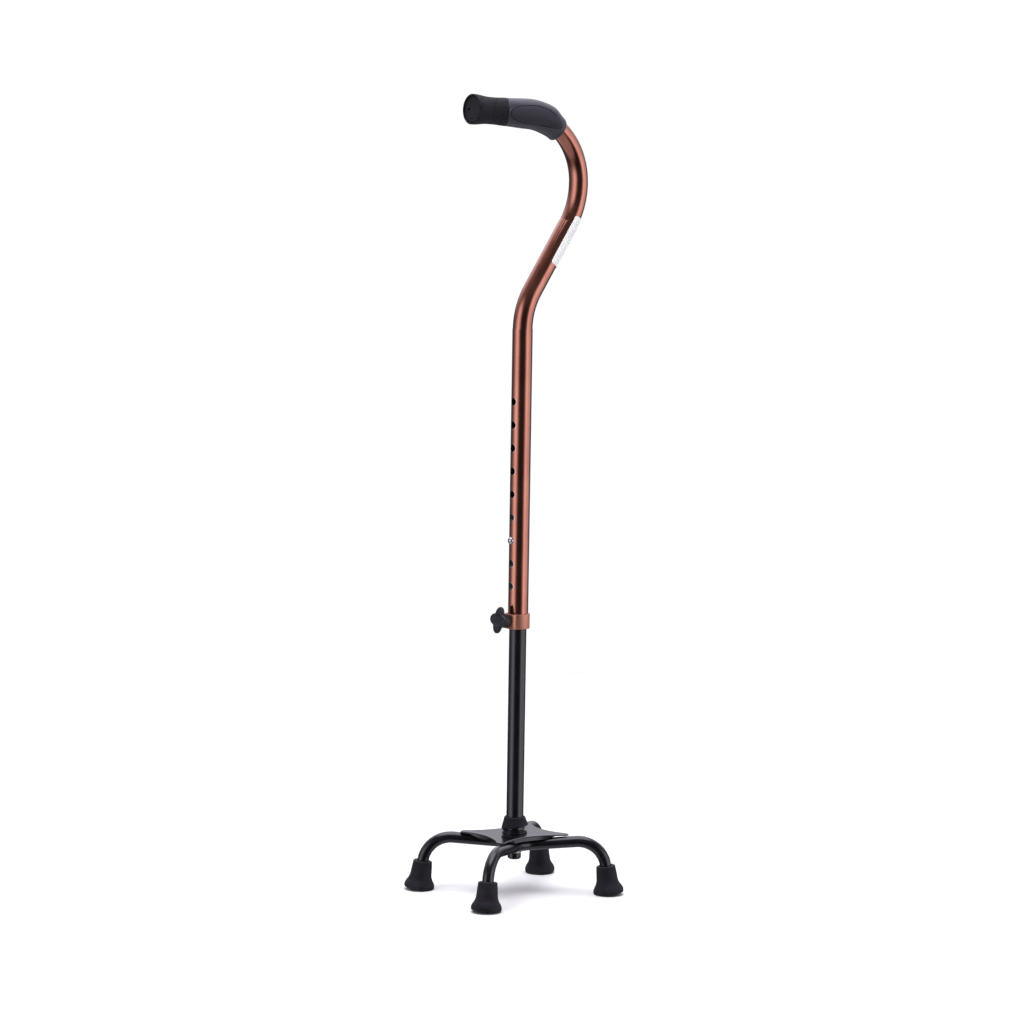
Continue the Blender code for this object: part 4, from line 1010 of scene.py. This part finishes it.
def copper_look(name, satin_and_painted_highlight=0.0):
    """Clear-coated copper colour; the pale rim round each hole is partly coat worn off and partly a painted
    highlight of the lit hole edge; satin is the duller band, whose copper is also painted lighter to stand
    in for its highlights.
    """
    look = Look(name, (0.45, 0.15, 0.085), 0.2, 1.0, Coat_Weight=1.0 - satin_and_painted_highlight, Coat_Roughness=0.1,
                Coat_IOR=1.8)
    cloud = look.noise(38.0, 4.0)
    grain = look.noise(260.0, 3.0, 0.6, (1.0, 1.0, 0.06))
    fleck = look.cells(2600.0)
    tone = look.mix(look.remap(cloud, 0.3, 0.7), (0.42, 0.104, 0.047), (0.50, 0.150, 0.073))
    tone = look.mix(look.remap(grain, 0.35, 0.75, 0.0, 0.35), tone, (0.58, 0.24, 0.15))
    tone = look.mix(look.remap(fleck, 0.0, 0.25, 0.22, 0.0), tone, (0.74, 0.38, 0.27))
    # the satin share also paints the copper lighter: a painted highlight standing in for the band's broad
    # sheen
    tone = look.mix(satin_and_painted_highlight * 0.8, tone, (0.88, 0.44, 0.30))
    spacing = HOLE_PITCH / 2.0
    wrapped = look.maths("WRAP", look.axis("Z"), HOLE_TOP_Z + spacing, HOLE_TOP_Z - spacing)
    along = look.maths("SUBTRACT", wrapped, HOLE_TOP_Z)
    across = look.axis("Y")
    apart = look.maths("SQRT", look.plus(look.times(along, along), look.times(across, across)))
    rim = look.remap(apart, HOLE_R + 0.15 * MM, HOLE_R + 0.5 * MM, 1.0, 0.0)
    below = look.remap(look.axis("Z"), HOLE_TOP_Z + 0.2 * spacing, HOLE_TOP_Z + spacing, 1.0, 0.0)
    last = HOLE_TOP_Z - (HOLE_COUNT - 1) * HOLE_PITCH
    above = look.remap(look.axis("Z"), last - spacing, last - 0.4 * spacing)
    front = look.remap(look.axis("X"), 6.0 * MM, 8.0 * MM)
    worn_rim_and_painted_highlight = look.times(look.times(rim, front), look.times(below, above))
    # pale rim round each hole: partly coat worn off, partly a painted highlight of the lit hole edge
    tone = look.mix(look.times(worn_rim_and_painted_highlight, 0.75), tone, (0.86, 0.74, 0.68))
    scratch = look.noise(120.0, 6.0, 0.7, (1.0, 1.0, 0.35))
    wear = look.plus(look.remap(cloud, 0.25, 0.75, 0.15, 0.24), look.remap(scratch, 0.62, 0.72, 0.0, 0.12))
    wear = look.plus(look.plus(wear, satin_and_painted_highlight * 0.42), look.times(worn_rim_and_painted_highlight, 0.1))
    return look.done(tone, wear, (look.noise(420.0, 2.0), 0.00002, 0.35), (grain, 0.00001, 0.3),
                     (look.remap(scratch, 0.66, 0.7, 1.0, 0.0), 0.00001, 0.4))


def enamel_look(name, scale, stretch):
    """Black enamel; the scuffs have a scale and a stretch along the piece."""
    look = Look(name, (0.004, 0.004, 0.006), 0.14, 0.0, Coat_Weight=0.4, Coat_Roughness=0.07)
    cloud = look.noise(30.0, 4.0)
    scuff = look.noise(scale, 5.0, 0.65, (1.0, 1.0, stretch))
    tone = look.clouded(cloud, (0.003, 0.003, 0.005), (0.006, 0.006, 0.008))
    tone = look.mix(look.remap(look.cells(900.0), 0.0, 0.10, 0.5, 0.0), tone, (0.02, 0.02, 0.023))
    wear = look.plus(look.remap(cloud, 0.25, 0.75, 0.10, 0.20), look.remap(scuff, 0.58, 0.75, 0.0, 0.16))
    return look.done(tone, wear, (look.noise(650.0, 2.0), 0.00003, 0.25),
                     (look.remap(scuff, 0.64, 0.70, 1.0, 0.0), 0.00001, 0.35))


def rubber_look():
    """Black rubber, dusty close to the floor."""
    look = Look("black_rubber", (0.008, 0.008, 0.011), 0.7, 0.0, Specular_IOR_Level=0.22, Sheen_Weight=0.03,
                Sheen_Roughness=0.5)
    pores = look.noise(1500.0, 3.0, 0.6)
    tone = look.clouded(look.noise(55.0, 5.0, 0.6), (0.0060, 0.0052, 0.0082), (0.0120, 0.0108, 0.0150))
    dust = look.times(look.remap(look.axis("Z"), 1.0 * MM, 11.0 * MM, 1.0, 0.0),
                      look.remap(look.noise(160.0, 5.0, 0.7), 0.42, 0.72))
    tone = look.mix(look.times(dust, 0.30), tone, (0.07, 0.067, 0.065))
    wear = look.plus(look.remap(pores, 0.3, 0.7, 0.52, 0.70), look.times(dust, 0.15))
    return look.done(tone, wear, (pores, 0.00006, 0.5), (look.noise(330.0, 3.0), 0.00010, 0.35))


def grip_look():
    look = Look("grip_rubber", (0.030, 0.029, 0.038), 0.42, 0.0, Specular_IOR_Level=0.6, Sheen_Weight=0.08,
                Sheen_Roughness=0.4)
    cloud = look.noise(42.0, 5.0, 0.6)
    tone = look.clouded(cloud, (0.016, 0.0145, 0.024), (0.027, 0.025, 0.037))
    wear = look.plus(look.remap(cloud, 0.3, 0.7, 0.34, 0.44),
                     look.remap(look.noise(85.0, 4.0, 0.6), 0.5, 0.75, 0.0, 0.12))
    return look.done(tone, wear, (look.cells(1400.0, "SMOOTH_F1"), 0.00005, 0.45),
                     (look.noise(240.0, 3.0), 0.00008, 0.25))


def sleeve_look():
    look = Look("grip_rough", (0.014, 0.014, 0.016), 0.75, 0.0, Specular_IOR_Level=0.3, Sheen_Weight=0.03)
    pebble = look.cells(780.0, "F1", 0.75)
    height = look.remap(pebble, 0.15, 0.75, 1.0, 0.0)
    # the pebble tops are painted lighter and the hollows between them darker: painted shade in the hollows
    tone = look.mix(height, (0.004, 0.0035, 0.0055), (0.011, 0.010, 0.014))
    tone = look.mix(look.remap(look.noise(60.0, 4.0), 0.45, 0.75, 0.0, 0.5), tone, (0.015, 0.014, 0.018))
    return look.done(tone, look.remap(pebble, 0.1, 0.8, 0.62, 0.85), (height, 0.00022, 0.8),
                     (look.noise(2200.0, 3.0, 0.6), 0.00004, 0.5))


def disc_look():
    look = Look("grip_disc", (0.009, 0.009, 0.012), 0.55, 0.0, Specular_IOR_Level=0.22, Sheen_Weight=0.02)
    cloud = look.noise(70.0, 5.0, 0.65)
    tone = look.clouded(cloud, (0.0085, 0.0078, 0.0110), (0.0155, 0.0145, 0.0190))
    return look.done(tone, look.remap(cloud, 0.3, 0.75, 0.45, 0.66), (look.noise(900.0, 3.0), 0.00005, 0.5))


def inlay_look():
    look = Look("grip_inlay", (0.025, 0.024, 0.030), 0.6, 0.0, Specular_IOR_Level=0.35, Sheen_Weight=0.05,
                Sheen_Roughness=0.4)
    cloud = look.noise(60.0, 5.0, 0.6)
    height = look.remap(look.cells(1100.0, "F1", 0.15), 0.15, 0.5, 1.0, 0.0)
    tone = look.clouded(cloud, (0.016, 0.015, 0.022), (0.025, 0.0235, 0.033))
    # the raised dots are painted lighter than the ground between them: painted shade round the dots
    tone = look.mix(look.times(height, 0.35), tone, (0.033, 0.031, 0.041))
    return look.done(tone, look.remap(cloud, 0.3, 0.75, 0.52, 0.66), (height, 0.00007, 0.45))


def plastic_look(name):
    look = Look(name, (0.018, 0.018, 0.022), 0.45, 0.0, Specular_IOR_Level=0.45)
    spark = look.noise(1800.0, 4.0, 0.7)
    tone = look.clouded(look.noise(90.0, 4.0), (0.009, 0.0085, 0.0125), (0.0155, 0.0145, 0.0200))
    return look.done(tone, look.remap(spark, 0.3, 0.7, 0.38, 0.58), (spark, 0.00006, 0.5))


def metal_look(name, colour, low, high):
    look = Look(name, colour, (low + high) / 2.0, 1.0)
    cloud = look.noise(180.0, 5.0, 0.65)
    brush = look.noise(900.0, 3.0, 0.6, (1.0, 0.08, 1.0))
    dull = tuple(channel * 0.72 for channel in colour)
    wear = look.plus(look.remap(cloud, 0.3, 0.75, low, high), look.remap(brush, 0.5, 0.8, 0.0, 0.08))
    return look.done(look.mix(look.remap(cloud, 0.35, 0.75), colour, dull), wear, (brush, 0.00002, 0.3))


def nylon_look():
    look = Look("nylon", (0.72, 0.71, 0.66), 0.45, 0.0, Subsurface_Weight=0.1)
    cloud = look.noise(120.0, 4.0)
    tone = look.clouded(cloud, (0.70, 0.69, 0.63), (0.76, 0.75, 0.71))
    return look.done(tone, look.remap(cloud, 0.3, 0.75, 0.38, 0.55), (look.noise(1200.0, 3.0), 0.00004, 0.4))


def label_look():
    look = Look("label_white", (0.66, 0.655, 0.70), 0.6, 0.0, Specular_IOR_Level=0.1)
    fibre = look.noise(700.0, 2.0, 0.5)
    stain = look.remap(look.noise(60.0, 4.0, 0.6), 0.45, 0.8)
    tone = look.mix(stain, (0.83, 0.84, 0.82), (0.77, 0.78, 0.765))
    return look.done(tone, look.remap(fibre, 0.3, 0.7, 0.55, 0.68), (fibre, 0.000004, 0.1))


def floor_look():
    look = Look("floor", (0.8, 0.8, 0.8), 0.6, 0.0, Specular_IOR_Level=0.3)
    cloud = look.remap(look.noise(2.0, 4.0), 0.3, 0.7)
    tone = look.mix(cloud, (FLOOR_SHADE,) * 3, (FLOOR_SHADE * 1.03,) * 3)
    return look.done(tone, look.remap(look.noise(30.0, 3.0), 0.3, 0.7, 0.55, 0.7))


LOOKS = {
    "copper": copper_look("copper_coat"),
    # the band's copper: satin, and painted lighter as a painted highlight
    "copper_satin_painted_highlight": copper_look("copper_satin_painted_highlight", 0.9),
    "black_gloss": enamel_look("black_gloss", 90.0, 0.5),
    "pole_black": enamel_look("pole_black", 300.0, 0.03),
    "black_rubber": rubber_look(),
    "grip_rubber": grip_look(),
    "grip_rough": sleeve_look(),
    "grip_disc": disc_look(),
    "grip_inlay": inlay_look(),
    "knob_plastic": plastic_look("knob_plastic"),
    "black_plastic": plastic_look("black_plastic"),
    "steel": metal_look("steel", (0.72, 0.72, 0.73), 0.10, 0.22),
    "zinc": metal_look("zinc", (0.62, 0.62, 0.60), 0.25, 0.42),
    "nylon": nylon_look(),
    "label": label_look(),
}

# ---------------------------------------------------------------- studio
CAMERA_TURN = math.radians(54.64)   # from +X towards +Y
CAMERA_RISE = math.radians(6.476)
CAMERA_ROLL = math.radians(0.9136)
CAMERA_DISTANCE = 4.0
CAMERA_TARGET = Vector((0.0, 0.0, 0.45))
FLOOR_R = 1.5
FLOOR_SHADE = 0.62
EYE_WHITE = 1.02                    # what the eye sees behind the object
ROOM_TINT = (0.985, 0.955, 1.06)
BAND_HIGH = 0.12                    # share of the softboxes' light left near the top
BAND_LOW = 0.2                      # and near the bottom
WALL_BEHIND = 0.7
CEILING_FRONT = 0.10
CEILING_BACK = 1.6
CEILING_TOP = 2.8
UNDER_LIGHT = 0.5
STUDIO_STOPS = [                    # degrees round from the camera, and the light there
    (-180.0, 0.10), (-112.0, 0.12), (-88.0, 0.50), (-70.0, 1.35), (-56.0, 1.55), (-42.0, 0.95),
    (-30.0, 0.26), (-20.0, 0.05), (22.0, 0.03), (40.0, 0.22), (52.0, 1.35), (66.0, 1.50), (82.0, 1.15),
    (110.0, 0.80), (126.0, 0.12), (180.0, 0.10),
]


def direction(turn, rise):
    return Vector((math.cos(rise) * math.cos(turn), math.cos(rise) * math.sin(turn), math.sin(rise)))


def build_camera():
    data = bpy.data.cameras.new("camera")
    data.sensor_width = 36.0
    data.lens = 128.62
    data.shift_x = -0.0079
    data.shift_y = -0.0242
    data.clip_start = 0.1
    data.clip_end = 50.0
    camera = add("camera", data)
    back = direction(CAMERA_TURN, CAMERA_RISE)
    camera.location = CAMERA_TARGET + back * CAMERA_DISTANCE
    aim = (-back).to_track_quat("-Z", "Y").to_matrix()
    camera.rotation_euler = (aim @ Matrix.Rotation(CAMERA_ROLL, 3, "Z")).to_euler()
    bpy.context.scene.camera = camera


def build_floor():
    bm = bmesh.new()
    bmesh.ops.create_grid(bm, x_segments=24, y_segments=24, size=1.0)
    for vert in bm.verts:
        square = max(abs(vert.co.x), abs(vert.co.y), 1e-9)
        vert.co *= FLOOR_R * square / max(vert.co.length, 1e-9)
    mesh = plain_mesh(bm)
    mesh.materials.append(floor_look())
    floor = add("floor", mesh)
    floor.location = (0.0, 0.0, -0.4 * MM)
    floor.visible_glossy = False


def softbox(name, turn, rise, distance, width, height, power):
    data = bpy.data.lights.new(name, "AREA")
    data.shape = "RECTANGLE"
    data.size = width
    data.size_y = height
    data.energy = power
    light = add(name, data)
    way = direction(math.radians(turn), math.radians(rise))
    light.location = Vector((0.0, 0.0, 0.4)) + way * distance
    light.rotation_euler = (-way).to_track_quat("-Z", "Y").to_euler()
    light.visible_camera = False
    light.visible_glossy = False


def build_world():
    """A white room for the eye; in reflections a dark front, two tall softboxes and a pale ceiling."""
    world = bpy.data.worlds.new("studio")
    world.use_nodes = True
    bpy.context.scene.world = world
    world.node_tree.nodes.clear()
    room = Graph(world.node_tree)
    split = room.node("SeparateXYZ", Vector=room.node("TexCoord").outputs["Generated"])
    x, y, z = split.outputs
    turn = room.maths("SUBTRACT", room.maths("ARCTAN2", y, x), CAMERA_TURN)
    ramp = room.node("ValToRGB")
    round_share = room.plus(room.maths("DIVIDE", turn, 2.0 * math.pi), 1.5)
    room.link(room.maths("FRACT", round_share), ramp.inputs[0])
    elements = ramp.color_ramp.elements
    while len(elements) < len(STUDIO_STOPS):
        elements.new(0.5)
    for element, (degrees, light) in zip(elements, STUDIO_STOPS):
        element.position = (degrees + 180.0) / 360.0
        element.color = (light, light, light, 1.0)
    behind = room.times(room.plus(room.maths("COSINE", room.plus(turn, math.pi)), 1.0), 0.5)
    wall = room.times(room.remap(z, -0.06, 0.26, 0.0, WALL_BEHIND), room.maths("POWER", behind, 2.0))
    ends = room.times(room.remap(z, 0.25, 0.62, 1.0, BAND_HIGH), room.remap(z, -0.50, -0.20, BAND_LOW, 1.0))
    ceiling = room.times(room.maths("POWER", behind, 3.0), CEILING_BACK - CEILING_FRONT)
    ceiling = room.times(room.remap(z, 0.02, 0.5), room.plus(ceiling, CEILING_FRONT))
    level = room.times(ramp.outputs["Color"], ends)
    for part in (wall, ceiling, room.remap(z, 0.80, 0.95, 0.0, CEILING_TOP),
                 room.remap(z, -0.75, -0.45, UNDER_LIGHT, 0.0)):
        level = room.maths("MAXIMUM", level, part)
    lit = room.node("Background", Color=ROOM_TINT, Strength=level)
    white = room.node("Background", Color=(1.0, 1.0, 1.0), Strength=EYE_WHITE)
    mix = room.node("MixShader")
    sources = (room.node("LightPath").outputs["Is Camera Ray"], lit.outputs[0], white.outputs[0])
    for source, socket in zip(sources, mix.inputs):
        room.link(source, socket)
    room.node("OutputWorld", Surface=mix.outputs[0])


bpy.context.scene.view_settings.view_transform = "Standard"
for build in (build_plate, build_leg_tubes, build_ferrules, build_socket_and_boot, build_base_bolt,
              build_lower_tube, build_button, build_spring, build_upper_tube, build_band, build_knob,
              build_sleeve, build_grip_body, build_inlays, build_grip_end, build_label):
    build()
PLAIN_NODES = {                     # nodes whose solids stay as they are and only get a look
    "tip_washer_front_left": "zinc", "tip_washer_front_right": "zinc", "tip_washer_rear_left": "zinc",
    "tip_washer_rear_right": "zinc", "bottom_plug": "zinc", "clamp_nut": "zinc", "guide_bush": "nylon",
    "clamp_pad": "nylon", "tube_end_plug": "black_plastic",
}
for node_name, look_name in PLAIN_NODES.items():
    for material_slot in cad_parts[node_name].material_slots:
        material_slot.material = LOOKS[look_name]
build_floor()
build_world()
softbox("key_light", 0.0, 38.0, 2.6, 1.6, 1.2, 18.0)
softbox("fill_light", 125.0, 30.0, 2.8, 1.6, 1.2, 14.0)
softbox("top_light", 54.0, 82.0, 2.4, 2.0, 2.0, 70.0)
build_camera()
